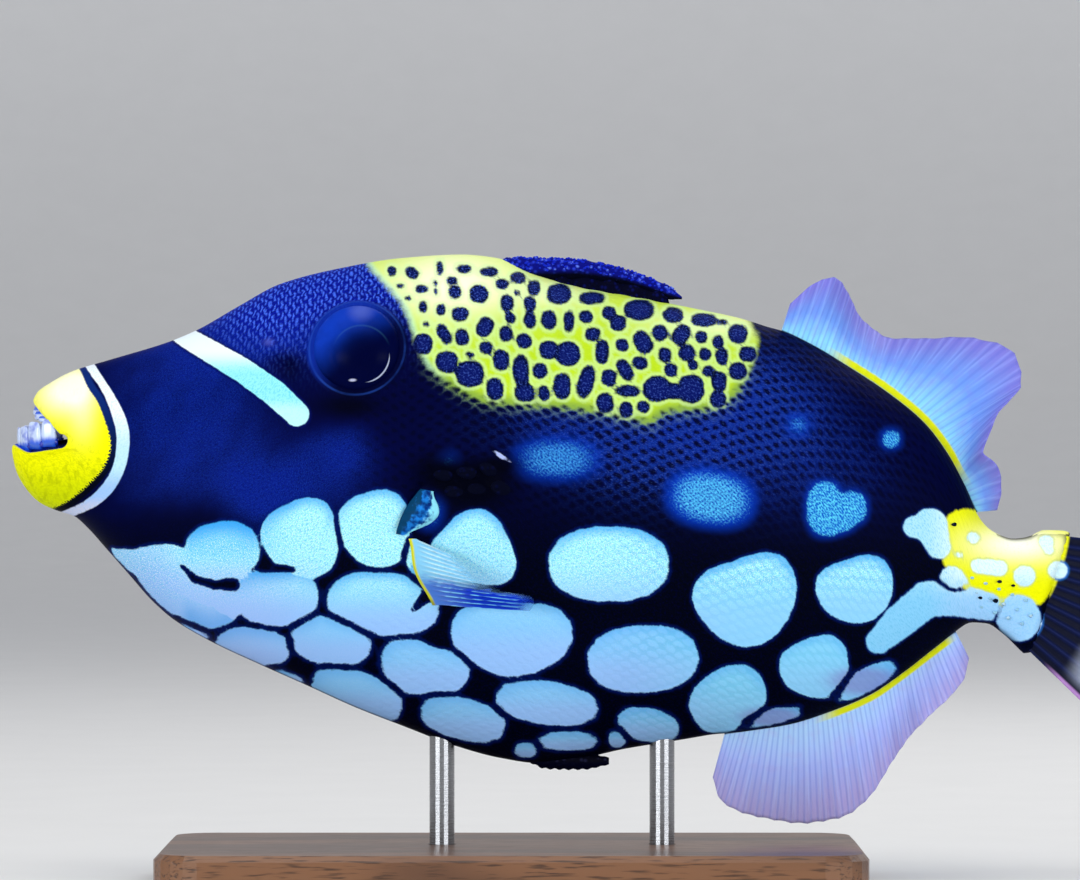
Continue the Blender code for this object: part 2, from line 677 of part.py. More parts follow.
def spinelet(root, tip, radius):
    """A small four-sided spine."""
    along = (tip - root).normalized()
    one = along.cross(Vector((0, 0, 1))).normalized()
    two = one.cross(along)
    share, bow, waist = SPINELET_BEND
    middle = root.lerp(tip, share) + Vector((bow, 0, 0))
    points = []
    for centre, size in ((root, radius), (middle, radius * waist)):
        for way in (one, two, -one, -two):
            points.append(tuple(centre + way * size))
    points.append(tuple(tip))
    faces = [(0, 1, 2, 3)]
    for k in range(4):
        nxt = (k + 1) % 4
        faces.append((k, nxt, 4 + nxt, 4 + k))
        faces.append((4 + k, 4 + nxt, 8))
    return to_mesh("spinelet", points, faces)


def fin_sheet(name, surface, columns, rows, half_at, start=0.0):
    """A thin fin from a surface(across, along), thickened both ways and split alike on both faces."""
    across = np.linspace(0, 1, columns)
    along = start + (1 - start) * np.linspace(0, 1, rows)
    middle = np.array([[surface(a, f) for f in along] for a in across])
    da = np.gradient(middle, axis=0)
    df = np.gradient(middle, axis=1)
    normal = np.cross(da, df)
    normal /= np.linalg.norm(normal, axis=2, keepdims=True)
    half = np.array([[half_at(c, a, f) for f in along] for c, a in enumerate(across)])
    front = middle + normal * half[:, :, None]
    rear = middle - normal * half[:, :, None]
    points = np.concatenate([front.reshape(-1, 3), rear.reshape(-1, 3)])
    shift = columns * rows
    faces = []
    for c in range(columns - 1):
        for r in range(rows - 1):
            a = c * rows + r
            b = a + rows
            for one in ((a, b, b + 1), (a, b + 1, a + 1)):
                faces.append(one)
                faces.append(tuple(shift + k for k in reversed(one)))
    rim = [c * rows for c in range(columns)]
    rim += [(columns - 1) * rows + r for r in range(1, rows)]
    rim += [c * rows + rows - 1 for c in range(columns - 2, -1, -1)]
    rim += [r for r in range(rows - 2, 0, -1)]
    for i, a in enumerate(rim):
        b = rim[(i + 1) % len(rim)]
        faces.append((a, shift + a, shift + b))
        faces.append((a, shift + b, b))
    return to_mesh(name, points, faces)


def ray_table(rows):
    share, length, angle, swing = np.array(rows, float).T
    columns = (length, np.radians(angle), swing)
    return [smooth_line(list(zip(share, column))) for column in columns]


def ray_ridges(root=RAY_HALF, tip=MEMBRANE_HALF + 0.08, thin=MEMBRANE_HALF):
    """Half thickness with a ray on every other column."""
    def half(column, across, along):
        if column % 2:
            return thin
        return root + (tip - root) * max(along, 0)
    return half


def edge_fin(name, line, span, table, rays):
    """A fin along the back or the belly, whose rays fan out and swing from side to side."""
    length, angle, swing = ray_table(table)
    xs = np.linspace(span[0], span[1], 400)
    zs = line(xs)
    run = np.concatenate([[0], np.cumsum(np.hypot(np.diff(xs), np.diff(zs)))])
    run /= run[-1]
    columns = 2 * rays - 1
    rows = EDGE_FIN_ROWS

    def surface(across, along):
        x = np.interp(across, run, xs)
        z = np.interp(across, run, zs)
        between = abs(math.sin(across * (rays - 1) * math.pi))
        far = length(across) * (1 - SCALLOP * between)
        run_x = math.cos(angle(across))
        run_z = math.sin(angle(across))
        if along < 0:
            return (x + along * FIN_ROOT * run_x, 0, z + along * FIN_ROOT * run_z)
        curve = swing(across) * along ** SWING_POWER
        pleat = PLEAT * along * math.cos(across * (rays - 1) * math.pi)
        return (x + far * along * run_x, curve + pleat, z + far * along * run_z)

    return fin_sheet(name, surface, columns, rows, ray_ridges(), start=-1 / (rows - 2))


def trim_to_body(obj, body):
    """Ends a piece a gap short of the skin that it grows from."""
    return boolean(obj, [copy_of(body, "room", GAP + 0.02)], "DIFFERENCE")


def make_caudal_fin():
    """The tail fin: forked rays that spread from the end of the stalk, thick at the root."""
    length, angle, swing = ray_table(CAUDAL_RAY)
    ring = body_ring(BODY_END, RING_POINTS)
    top = ring[RING_POINTS // 4]
    low = ring[3 * RING_POINTS // 4]
    inset = CAUDAL_INSET
    columns = 4 * CAUDAL_RAYS + 1

    def surface(across, along):
        share = inset + (1 - 2 * inset) * across
        root = low + (top - low) * share
        root = root + np.array([GAP / math.cos(math.atan(TAIL_LEAN)) + 0.05, 0, 0])
        notch = CAUDAL_NOTCH * abs(math.cos(across * CAUDAL_RAYS * math.pi))
        far = length(across) * along * (1 - notch)
        curve = swing(across) * along ** SWING_POWER
        return root + (far * math.cos(angle(across)), curve, far * math.sin(angle(across)))

    def half(column, across, along):
        fade = math.exp(-along * length(across) / CAUDAL_ROOT_FADE)
        edge = math.sin(math.pi * min(max(across, 0.0), 1.0)) ** 0.5
        body_half = (CAUDAL_ROOT_HALF * fade) * (0.25 + 0.75 * edge)
        place = column % 4
        ridge = 0.0
        if along < CAUDAL_SPLIT and place == 2:
            ridge = CAUDAL_RIDGES[0]
        if along >= CAUDAL_SPLIT and place in (1, 3):
            ridge = CAUDAL_RIDGES[1] * (1.25 - along)
        return max(body_half, MEMBRANE_HALF) + ridge

    return fin_sheet("caudal_fin", surface, columns, CAUDAL_ROWS, half)


def make_pectoral_fin(side, body):
    """A short rounded fin that stands out from the flank and sweeps back."""
    length, angle, swing = ray_table(PECTORAL_RAY)
    rays = PECTORAL_RAYS
    columns = 2 * rays - 1

    def surface(across, along):
        x = PECTORAL_BOTTOM[0] + (PECTORAL_TOP[0] - PECTORAL_BOTTOM[0]) * across
        z = PECTORAL_BOTTOM[1] + (PECTORAL_TOP[1] - PECTORAL_BOTTOM[1]) * across
        out = side_at(x, z)
        far = length(across)
        if along < 0:
            return (x + PECTORAL_ROOT[1] * along, side * (out + PECTORAL_ROOT[2] * along), z)
        lift = swing(across) * math.sin(along * math.pi / 2) ** 0.9
        reach = far * along
        return (x + reach * math.cos(angle(across)), side * (out + lift), z + reach * math.sin(angle(across)))

    name = "pectoral_fin_left" if side < 0 else "pectoral_fin_right"
    obj = fin_sheet(name, surface, columns, PECTORAL_ROWS, ray_ridges(*PECTORAL_HALF), start=-PECTORAL_ROOT[0])
    return trim_to_body(obj, body)


def make_first_dorsal(body):
    """The folded first dorsal fin: the stout trigger spine with its knobs, over the folded membrane."""
    line = smooth_line(TRIGGER_LINE)
    xs = np.linspace(TRIGGER_LINE[0][0], TRIGGER_LINE[-1][0], TRIGGER_RINGS)
    path = [(x, 0, line(x)) for x in xs]
    share = np.linspace(0, 1, len(xs))
    thin = (1 - TRIGGER_TAPER * share) * np.where(share > 0.9, 0.7, 1)
    spine = tube("first_dorsal_fin", path, TRIGGER_TALL * thin, TRIGGER_WIDE * thin, sides=8)
    pieces = []
    for i in range(TRIGGER_KNOBS):
        at = 0.06 + 0.9 * i / (TRIGGER_KNOBS - 1)
        x = xs[0] + (xs[-1] - xs[0]) * at
        size = 1 - TRIGGER_TAPER * at
        for side in (-1, 1):
            place = (x, side * TRIGGER_WIDE * size * 0.72, line(x) + TRIGGER_TALL * size * 0.62)
            pieces.append(ball("knob", place, (KNOB_RADIUS,) * 3, rings=4, sides=5))

    def sheet(across, along):
        x = FOLDED_FIN[0] + (FOLDED_FIN[1] - FOLDED_FIN[0]) * across
        low = back(x) - 1.5
        top = line(x) - 0.5
        return (x + 1.5 * along, 0.5 * math.sin(across * 9) * along, low + (top - low) * along)

    def half(column, across, along):
        return FOLDED_FIN_HALF + (FOLDED_FIN_RAY if column in (3, 7) else 0.0)

    pieces.append(fin_sheet("membrane", sheet, 10, 3, half))
    boolean(spine, pieces, "UNION")
    return trim_to_body(spine, body)


def make_pelvic_stub(body):
    """The rough stub at the end of the pelvic bone."""
    path = [(x, 0, z) for x, z in PELVIC_LINE]
    stub = tube("pelvic_spine", path, PELVIC_TALL, PELVIC_WIDE, sides=8)
    knobs = []
    for i in range(PELVIC_KNOBS):
        x = PELVIC_LINE[1][0] + PELVIC_KNOB_STEP * i
        line = smooth_line(PELVIC_LINE)
        place = (x, 0, line(x) - PELVIC_KNOB_LOW + 0.25 * i)
        knobs.append(ball("knob", place, PELVIC_KNOB, rings=4, sides=6))
    boolean(stub, knobs, "UNION")
    return trim_to_body(stub, body)


def make_gill_flap(side, body):
    """The soft flap that closes the short gill opening in front of the pectoral fin."""
    def surface(across, along):
        x = GILL_BOTTOM[0] + (GILL_TOP[0] - GILL_BOTTOM[0]) * across
        z = GILL_BOTTOM[1] + (GILL_TOP[1] - GILL_BOTTOM[1]) * across
        bow = math.sin(math.pi * across)
        far = GILL_FLAP_LONG * (GILL_FLAP_END + (1 - GILL_FLAP_END) * bow)
        px = x - GILL_FLAP_BOW * bow + far * along
        pz = z - GILL_FLAP_FALL * far * along
        out = side_at(px, pz)
        lift = GILL_FLAP_LIFT * math.sin(math.pi * (0.15 + 0.7 * along)) * (0.5 + 0.5 * bow)
        return (px, side * (out - GILL_FLAP_SUNK + lift), pz)

    name = "gill_flap_left" if side < 0 else "gill_flap_right"
    obj = fin_sheet(name, surface, 8, 5, lambda column, across, along: GILL_FLAP_HALF)
    return trim_to_body(obj, body)


def rounded_plate(name, long, wide, low, high, corner, chamfer):
    """A flat plate with round corners and a small chamfer along its upper edge."""
    ways = ((1, 1), (-1, 1), (-1, -1), (1, -1))
    rings = []
    for inset, z in ((0.0, low), (0.0, high - chamfer), (chamfer, high)):
        ring = []
        radius = corner - inset
        for quarter, (way_x, way_y) in enumerate(ways):
            cx = BASE_X + (long / 2 - corner) * way_x
            cy = (wide / 2 - corner) * way_y
            for k in range(6):
                turn = math.pi / 2 * (quarter + k / 5)
                ring.append((cx + radius * math.cos(turn), cy + radius * math.sin(turn), z))
        rings.append(np.array(ring))
    return loft(name, rings)


def make_stand():
    """A flat walnut base and two steel rods that end in sockets in the belly."""
    base = rounded_plate("stand_base", BASE_LONG, BASE_WIDE, 0, BASE_TALL, BASE_CORNER, BASE_CHAMFER)
    rods = []
    holes = []
    for x, name in zip(ROD_X, ("stand_rod_front", "stand_rod_rear")):
        foot = BASE_TALL - ROD_IN_BASE
        rods.append(rod(name, x, 0, foot, belly(x) + ROD_IN_BODY, ROD_RADIUS))
        holes.append(rod("hole", x, 0, foot - GAP, BASE_TALL + 2, ROD_RADIUS + GAP))
    boolean(base, holes, "DIFFERENCE")
    return base, rods


def main():
    clear_scene()
    body = loft("body", [body_ring(x, RING_POINTS) for x in body_stations()])
    upper, lower = make_jaws(body)
    top_teeth, low_teeth = make_teeth(upper, lower)
    finish(upper, LIP_YELLOW, 0.35)
    finish(lower, LIP_YELLOW, 0.35)
    finish(top_teeth, TOOTH_WHITE, 0.25)
    finish(low_teeth, TOOTH_WHITE, 0.25)
    finish(make_head(body), SKIN_BLUE, 0.3)
    finish(make_torso(body), SKIN_BLUE, 0.3)
    finish(make_tail_stalk(body), LIP_YELLOW, 0.35)
    for side in (-1, 1):
        finish(make_eye(side), EYE_BLACK, 0.05)
        finish(make_pectoral_fin(side, body), FIN_LAVENDER, 0.3)
        finish(make_gill_flap(side, body), SKIN_BLUE, 0.3)
    soft = edge_fin("second_dorsal_fin", back, SOFT_DORSAL_BASE, SOFT_DORSAL_RAY, SOFT_DORSAL_RAYS)
    finish(trim_to_body(soft, body), FIN_LAVENDER, 0.3)
    anal = edge_fin("anal_fin", belly, ANAL_BASE, ANAL_RAY, ANAL_RAYS)
    finish(trim_to_body(anal, body), FIN_LAVENDER, 0.3)
    finish(make_caudal_fin(), TAIL_BLACK, 0.3)
    finish(make_first_dorsal(body), SKIN_BLUE, 0.35)
    finish(make_pelvic_stub(body), TAIL_BLACK, 0.5)
    base, rods = make_stand()
    finish(base, WALNUT, 0.4)
    for each in rods:
        finish(each, STEEL, 0.25, 1.0)
    bpy.data.objects.remove(body)


main()
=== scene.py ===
import json
import math

import bmesh
import bpy
import numpy as np
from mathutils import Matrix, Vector

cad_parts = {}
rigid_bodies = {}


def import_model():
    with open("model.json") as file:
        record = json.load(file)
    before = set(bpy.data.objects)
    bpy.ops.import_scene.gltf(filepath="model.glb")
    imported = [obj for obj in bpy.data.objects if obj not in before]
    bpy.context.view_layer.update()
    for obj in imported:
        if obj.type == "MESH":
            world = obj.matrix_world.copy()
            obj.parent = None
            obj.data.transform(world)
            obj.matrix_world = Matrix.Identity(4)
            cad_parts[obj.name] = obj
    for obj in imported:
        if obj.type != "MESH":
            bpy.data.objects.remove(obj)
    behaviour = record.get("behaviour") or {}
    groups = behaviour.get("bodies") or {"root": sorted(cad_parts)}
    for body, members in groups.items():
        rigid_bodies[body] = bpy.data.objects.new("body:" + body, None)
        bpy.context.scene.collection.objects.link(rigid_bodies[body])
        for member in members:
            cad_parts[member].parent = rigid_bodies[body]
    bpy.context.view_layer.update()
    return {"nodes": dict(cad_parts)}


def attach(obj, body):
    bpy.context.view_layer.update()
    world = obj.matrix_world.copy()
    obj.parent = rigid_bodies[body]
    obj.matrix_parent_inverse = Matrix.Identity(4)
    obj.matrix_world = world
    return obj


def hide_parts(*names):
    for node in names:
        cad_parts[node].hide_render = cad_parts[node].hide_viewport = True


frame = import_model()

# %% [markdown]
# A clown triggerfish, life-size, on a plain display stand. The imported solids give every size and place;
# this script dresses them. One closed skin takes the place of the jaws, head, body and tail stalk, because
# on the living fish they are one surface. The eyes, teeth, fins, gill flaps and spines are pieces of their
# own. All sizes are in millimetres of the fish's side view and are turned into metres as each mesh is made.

MM = 0.001
ORIGIN_X = 126.2

# %% [markdown]
# The body is a set of cross-sections. Three lines give the back, the belly and the half width at each place
# along the fish, and a power gives how full the section is. A spline through a few given points that
# never overshoots is enough for such outlines, and the same tables give the solids and this skin one true
# shape.

# %% The outlines of the body
BACK_LINE = (
    (-0.2, 91.2), (0.6, 92.4), (1.8, 94), (4.3, 97), (7.7, 100.2), (12.2, 102.6), (19.4, 104.8),
    (31.8, 108.6), (37, 110.8), (45.4, 115.6), (53.6, 120), (65.8, 123.2), (78, 125.2), (90, 125.9),
    (97, 125.2), (104, 122.2), (112.6, 119.6), (125.4, 117.3), (137, 115), (145.4, 113.2), (153.2, 110.6),
    (160.6, 107), (166.2, 103.6), (175.8, 97.2), (182.2, 91.8), (187, 85.4), (190.2, 79.4), (193.2, 73.4),
    (196.4, 70.4), (200.2, 69.1), (203, 69.4), (206.4, 70.8), (213, 70.6),
)
BELLY_LINE = (
    (-0.2, 87.6), (0.4, 85.4), (1.5, 82), (3.6, 78.2), (5.7, 76.2), (9, 74.7), (12.4, 73.6), (15.4, 71),
    (18.6, 67.4), (23.6, 61.7), (27.8, 56.9), (32.2, 53), (40.4, 48.2), (49.4, 44), (58.6, 39.9),
    (69, 35.2), (77.7, 31.8), (89.4, 27.4), (97.7, 25.2), (105, 24.2), (113, 25), (122.4, 27),
    (134.1, 28.9), (144, 30.6), (155.4, 32.4), (163.4, 34.9), (171.6, 38.4), (178.4, 43), (184, 47.4),
    (188.6, 50.8), (192, 52.3), (195, 52.1), (198, 50.2), (202, 46.4), (207, 42),
)
HALF_WIDTH = (
    (-0.2, 1), (0.6, 3.2), (1.8, 5.2), (3.8, 7), (6.5, 8.4), (10, 9.5), (15, 10.7), (22, 12.4), (35, 15.4),
    (50, 18.6), (65, 21), (80, 23), (95, 24), (110, 24), (125, 22.7), (140, 20.2), (155, 16.6), (168, 13),
    (180, 9.6), (190, 6.8), (198, 5), (206, 3.9), (213, 3.6),
)
WIDEST = ((-0.2, 0.50), (30.0, 0.50), (70.0, 0.54), (120.0, 0.55), (180.0, 0.52), (213.0, 0.50))
BELLY_POWER = ((-0.2, 0.95), (12.0, 1.00), (40.0, 1.22), (150.0, 1.30), (195.0, 1.05), (213.0, 1.0))
BACK_POWER = ((-0.2, 0.95), (12.0, 1.00), (60.0, 1.08), (150.0, 1.20), (195.0, 1.05), (213.0, 1.0))
HEIGHT_POWER = 0.93
BODY_END = 205.4
TAIL_LEAN = 0.29
LEAN_FROM = 184.0


# %% Smooth lines through the given points


def smooth_line(points):
    """A curve through given points that never overshoots them."""
    x, y = np.array(points, float).T
    step = np.diff(x)
    slope = np.diff(y) / step
    tangent = np.empty_like(x)
    tangent[0] = slope[0]
    tangent[-1] = slope[-1]
    before = 2 * step[1:] + step[:-1]
    after = step[1:] + 2 * step[:-1]
    for i in range(1, len(x) - 1):
        turns = slope[i - 1] * slope[i] <= 0
        weight = before[i - 1] + after[i - 1]
        tangent[i] = 0 if turns else weight / (before[i - 1] / slope[i - 1] + after[i - 1] / slope[i])

    def value(at):
        at = np.clip(at, x[0], x[-1])
        i = np.clip(np.searchsorted(x, at) - 1, 0, len(step) - 1)
        t = (at - x[i]) / step[i]
        rise = y[i] * (1 + 2 * t) * (1 - t) ** 2 + y[i + 1] * t * t * (3 - 2 * t)
        return rise + step[i] * t * (1 - t) * (tangent[i] * (1 - t) - tangent[i + 1] * t)

    return value


def smooth_step(low, high, at):
    """A smooth rise from 0 at low to 1 at high."""
    t = np.clip((at - low) / (high - low), 0, 1)
    return t * t * (3 - 2 * t)


back = smooth_line(BACK_LINE)
belly = smooth_line(BELLY_LINE)
half_width = smooth_line(HALF_WIDTH)
widest = smooth_line(WIDEST)
belly_power = smooth_line(BELLY_POWER)
back_power = smooth_line(BACK_POWER)
along_body = np.arange(0, 200)
print("body depth, mm:", round(float(np.max(back(along_body)) - np.min(belly(along_body))), 1))


# %% The surface of the body
def body_surface(x, turn):
    """Points of the body: x along the fish and turn round it, arrays of one shape."""
    lean = TAIL_LEAN * smooth_step(LEAN_FROM, BODY_END, x)
    middle = (back(x) + belly(x)) / 2
    top_x = x
    low_x = x
    for _ in range(8):
        top_x = x + lean * (back(top_x) - middle)
        low_x = x + lean * (belly(low_x) - middle)
    up = np.sin(turn)
    side = np.cos(turn)
    level = widest(x)
    reach = np.where(up > 0, 1 - level, level)
    share = level + np.sign(up) * reach * np.abs(up) ** HEIGHT_POWER
    power = np.where(up > 0, back_power(x), belly_power(x))
    out = half_width(x) * np.sign(side) * np.abs(side) ** power
    across = low_x + share * (top_x - low_x)
    height = belly(low_x) + share * (back(top_x) - belly(low_x))
    return np.stack([across, out, height], axis=-1)


def turn_at(x, z):
    """The turn, from -90 to 90 degrees, at which the section at x has the height z."""
    share = (z - belly(x)) / (back(x) - belly(x)) - widest(x)
    reach = np.where(share > 0, 1 - widest(x), widest(x))
    up = np.clip(np.abs(share) / reach, 0, 1) ** (1 / HEIGHT_POWER)
    return np.arcsin(up) * np.sign(share)


def side_at(x, z):
    """Half width of the body at a point of the side view."""
    return body_surface(np.asarray(x, float), turn_at(x, z))[..., 1]


def skin_normal(x, z, side):
    """Outward direction of the body's skin at a point of the side view."""
    d = 0.5
    along = (side_at(x + d, z) - side_at(x - d, z)) / (2 * d)
    upward = (side_at(x, z + d) - side_at(x, z - d)) / (2 * d)
    return Vector((-along, side, -upward)).normalized()


# %% [markdown]
# Meshes here are made from arrays of points, which is quick and exact. One helper turns points in
# millimetres into an object, sets smooth shading and stores any extra numbers for each point, such as the
# distance to a marking, as named attributes that a material can read.

# %% A mesh object from points in millimetres
def make_piece(name, points, faces, marks=None, plan=None):
    """An object with its faces; marks are numbers for each point, plan is a flat map in millimetres."""
    mesh = bpy.data.meshes.new(name)
    placed = (np.asarray(points, float) - (ORIGIN_X, 0, 0)) * MM
    mesh.from_pydata(placed.tolist(), [], [tuple(f) for f in faces])
    turned = bmesh.new()
    turned.from_mesh(mesh)
    bmesh.ops.recalc_face_normals(turned, faces=turned.faces)
    turned.to_mesh(mesh)
    turned.free()
    mesh.shade_smooth()
    for mark, values in (marks or {}).items():
        layer = mesh.attributes.new(mark, "FLOAT", "POINT")
        layer.data.foreach_set("value", np.asarray(values, np.float32).ravel())
    if plan is not None:
        corners = np.empty(len(mesh.loops), np.int32)
        mesh.loops.foreach_get("vertex_index", corners)
        layer = mesh.uv_layers.new(name="plan")
        layer.data.foreach_set("uv", np.asarray(plan, np.float32)[corners].ravel())
    piece = bpy.data.objects.new(name, mesh)
    bpy.context.scene.collection.objects.link(piece)
    return piece


def grid_faces(rows, columns, closed):
    """Four-sided faces between neighbouring rows; closed rows run round and meet."""
    faces = []
    for r in range(rows - 1):
        for c in range(columns if closed else columns - 1):
            a = r * columns + c
            b = r * columns + (c + 1) % columns
            faces.append((a, a + columns, b + columns, b))
    return faces


def end_faces(rows, columns, middle):
    """Faces that close the first and the last of closed rows, each on a point at its middle."""
    last = (rows - 1) * columns
    faces = []
    for k in range(columns):
        nxt = (k + 1) % columns
        faces.append((middle, k, nxt))
        faces.append((middle + 1, last + nxt, last + k))
    return faces


def turns_of(count):
    """Evenly spaced turns of a full circle."""
    return 2 * math.pi * np.arange(count) / count


# %% [markdown]
# The mouth comes first, because the skin starts there. The lips follow the true edge of each jaw: the upper
# one slopes down to the corner and the lower one is almost level, with a raised front. I take the base line
# of both lips on the body's surface as one closed loop, so that the skin can roll over it into the mouth.

# %% The loop of the lips
MOUTH_CORNER = (11.2, 89.0)
UPPER_LIP_SLOPE = -1.12
LOWER_LIP_SLOPE = 0.16
LOWER_LIP_DROP = 0.8
LOWER_LIP_RISE = 1.6
LOWER_LIP_FADE = 5.0
LIP_ROLL = 1.1
CORNER_ROUND = 1.5
LOOP_POINTS = 600


def upper_edge(x):
    """Height of the upper lip's edge."""
    return MOUTH_CORNER[1] + UPPER_LIP_SLOPE * (x - MOUTH_CORNER[0])


def lower_edge(x):
    """Height of the lower lip's edge."""
    return MOUTH_CORNER[1] - LOWER_LIP_DROP + LOWER_LIP_SLOPE * (x - MOUTH_CORNER[0])


def lip_half(upper):
    """Base line of one lip from the right corner of the mouth to the left: x, turn and place."""
    corner_x = MOUTH_CORNER[0]
    corner_z = MOUTH_CORNER[1] - LOWER_LIP_DROP / 2
    x = np.linspace(0.14, corner_x, 3000)
    if upper:
        z = upper_edge(x) + LIP_ROLL
        inside = back(x) > z
    else:
        z = lower_edge(x) - LIP_ROLL + LOWER_LIP_RISE * (1 - smooth_step(0, LOWER_LIP_FADE, x))
        inside = belly(x) < z
    first = int(np.argmax(inside))
    share = np.linspace(0, 1, LOOP_POINTS) ** 2
    x_line = x[first] + (corner_x - x[first]) * share
    z_line = np.interp(x_line, x, z)
    bend = np.linspace(math.pi / 2, 0, 60)[1:]
    way = 1 if upper else -1
    x_line = np.concatenate([x_line, corner_x + CORNER_ROUND * np.cos(bend)])
    z_line = np.concatenate([z_line, corner_z + way * CORNER_ROUND * np.sin(bend)])
    turn = turn_at(x_line, z_line)
    turn[0] = way * math.pi / 2
    right = turn if upper else turn + 2 * math.pi
    left = math.pi - turn
    first_side, last_side = (right, left) if upper else (left, right)
    x_all = np.concatenate([x_line[::-1], x_line[1:]])
    return x_all, np.concatenate([first_side[::-1], last_side[1:]])


def run_along(line):
    """How far each point of a line lies from its start, along the line."""
    return np.concatenate([[0], np.cumsum(np.linalg.norm(np.diff(line, axis=0), axis=1))])


def even_along(x, turn, count):
    """The same line with evenly spaced points."""
    run = run_along(body_surface(x, turn))
    even = np.linspace(0, run[-1], count + 1)[:-1]
    return np.interp(even, run, x), np.interp(even, run, turn), run[-1]


COLUMNS = 340
upper_x, upper_turn, upper_long = even_along(*lip_half(True), COLUMNS // 2)
lower_x, lower_turn, lower_long = even_along(*lip_half(False), COLUMNS // 2)
print("lip lengths, mm:", round(upper_long, 1), round(lower_long, 1))


# %% [markdown]
# The skin is one grid of points. Its rows start deep in the mouth, roll over the lips, run back over the
# muzzle and then follow the cross-sections to the tail, where they close over the root of the tail fin. A
# grid keeps every row smooth and lets me press details into it with plain arithmetic, and because there is
# only one mesh there is no seam between jaw, head, body and tail.

# %% Rows of the skin, from the lips to the tail
MUZZLE_END = 30.0
MUZZLE_ROWS = 44
ROW_STEP = 0.75
TAIL_ROUND = 2.2
TAIL_ROWS = 6


def even_turns(count):
    """Turns that part the widest section into equal lengths, with a point at each side's middle."""
    halves = []
    for start in (0.0, math.pi):
        turn = start + np.linspace(0, math.pi, 2001)
        run = run_along(body_surface(np.full_like(turn, 100.0), turn))
        halves.append(np.interp(np.linspace(0, run[-1], count // 2 + 1)[:-1], run, turn))
    return np.concatenate(halves)


lip_x = np.concatenate([upper_x, lower_x])
lip_turn = np.concatenate([upper_turn, lower_turn])
ring_turn = even_turns(COLUMNS)
go = (np.linspace(0, 1, MUZZLE_ROWS + 1) ** 1.5)[:, None]
muzzle_x = lip_x + (MUZZLE_END - lip_x) * go
muzzle_turn = lip_turn + (ring_turn - lip_turn) * go
body_rows = int((BODY_END - MUZZLE_END) / ROW_STEP)
body_x = np.linspace(MUZZLE_END, BODY_END, body_rows + 1)[1:, None] + 0 * ring_turn
surface_x = np.concatenate([muzzle_x, body_x])
surface_turn = np.concatenate([muzzle_turn, ring_turn + 0 * body_x])
surface = body_surface(surface_x, surface_turn)
print("rows on the body:", len(surface), "columns:", COLUMNS)


# %% Which way the skin faces
def grid_normals(points):
    """Outward directions of a closed grid of points."""
    down = np.gradient(points, axis=0)
    wide = (np.roll(points, -1, axis=1) - np.roll(points, 1, axis=1)) / 2
    normal = np.cross(wide, down)
    size = np.linalg.norm(normal, axis=2, keepdims=True)
    return normal / np.maximum(size, 1e-9)


normals = grid_normals(surface)
flank_rows = surface[100:200]
from_middle = flank_rows - flank_rows.mean(axis=1, keepdims=True)
outward = float(np.mean(np.sum(normals[100:200] * from_middle, axis=2)))
if outward < 0:
    normals = -normals
print("skin faces outwards:", outward != 0, "flipped:", outward < 0)

# %% [markdown]
# Details pressed into the skin: the raised orbit round each eye with the dip the eye sits in, the nostril
# with its small horn, the hollow behind the gill slit, the swollen bases of the fins, and fine creases by
# the corner of the mouth. Each is a height that depends on the distance to a point or a line, so the skin
# stays one smooth sheet. Scales are far too many for the mesh and are left to the material's bump.

# %% Where a point of the skin is in the side view
CAMERA_FAR = 1200.0
VIEW_MIDDLE = (105.6, 88.8)
EYE_AT = (69.6, 106.8)
ORBIT_RADIUS = 10.2
ORBIT_DEPTH = 6.9
EYE_SUNK = 2.5
EYE_TILT = 12.0


def side_view(points):
    """The side view's x and z of points, as seen by a camera 1.2 m away on their own side."""
    near = CAMERA_FAR / (CAMERA_FAR - np.abs(points[..., 1]))
    x = VIEW_MIDDLE[0] + (points[..., 0] - VIEW_MIDDLE[0]) * near
    z = VIEW_MIDDLE[1] + (points[..., 2] - VIEW_MIDDLE[1]) * near
    return x, z


def to_line(x, z, line, radii=None):
    """Distance from x, z to a line of points, less the line's own radius where it has one."""
    best = np.full(np.shape(x), 1e9)
    for i, ((ax, az), (bx, bz)) in enumerate(zip(line, line[1:])):
        t = np.clip(((x - ax) * (bx - ax) + (z - az) * (bz - az)) / ((bx - ax) ** 2 + (bz - az) ** 2), 0, 1)
        gap = np.hypot(x - ax - t * (bx - ax), z - az - t * (bz - az))
        if radii is not None:
            gap = gap - (radii[i] + t * (radii[i + 1] - radii[i]))
        best = np.minimum(best, gap)
    return best


def eye_frame(side):
    """The point of the skin under an eye, and the way the eye looks."""
    x, z = EYE_AT
    place = Vector((x, side * float(side_at(x, z)), z))
    normal = skin_normal(x, z, side)
    tilt = math.radians(EYE_TILT)
    axis = Vector((normal.x * 0.6, side * math.cos(tilt), math.sin(tilt))).normalized()
    return place, axis


def orbit_dome(d):
    """Height of the raised skin round the eye, at a distance from the eye's middle."""
    return -EYE_SUNK + ORBIT_DEPTH * np.sqrt(np.maximum(1 - (d / ORBIT_RADIUS) ** 2, 0))


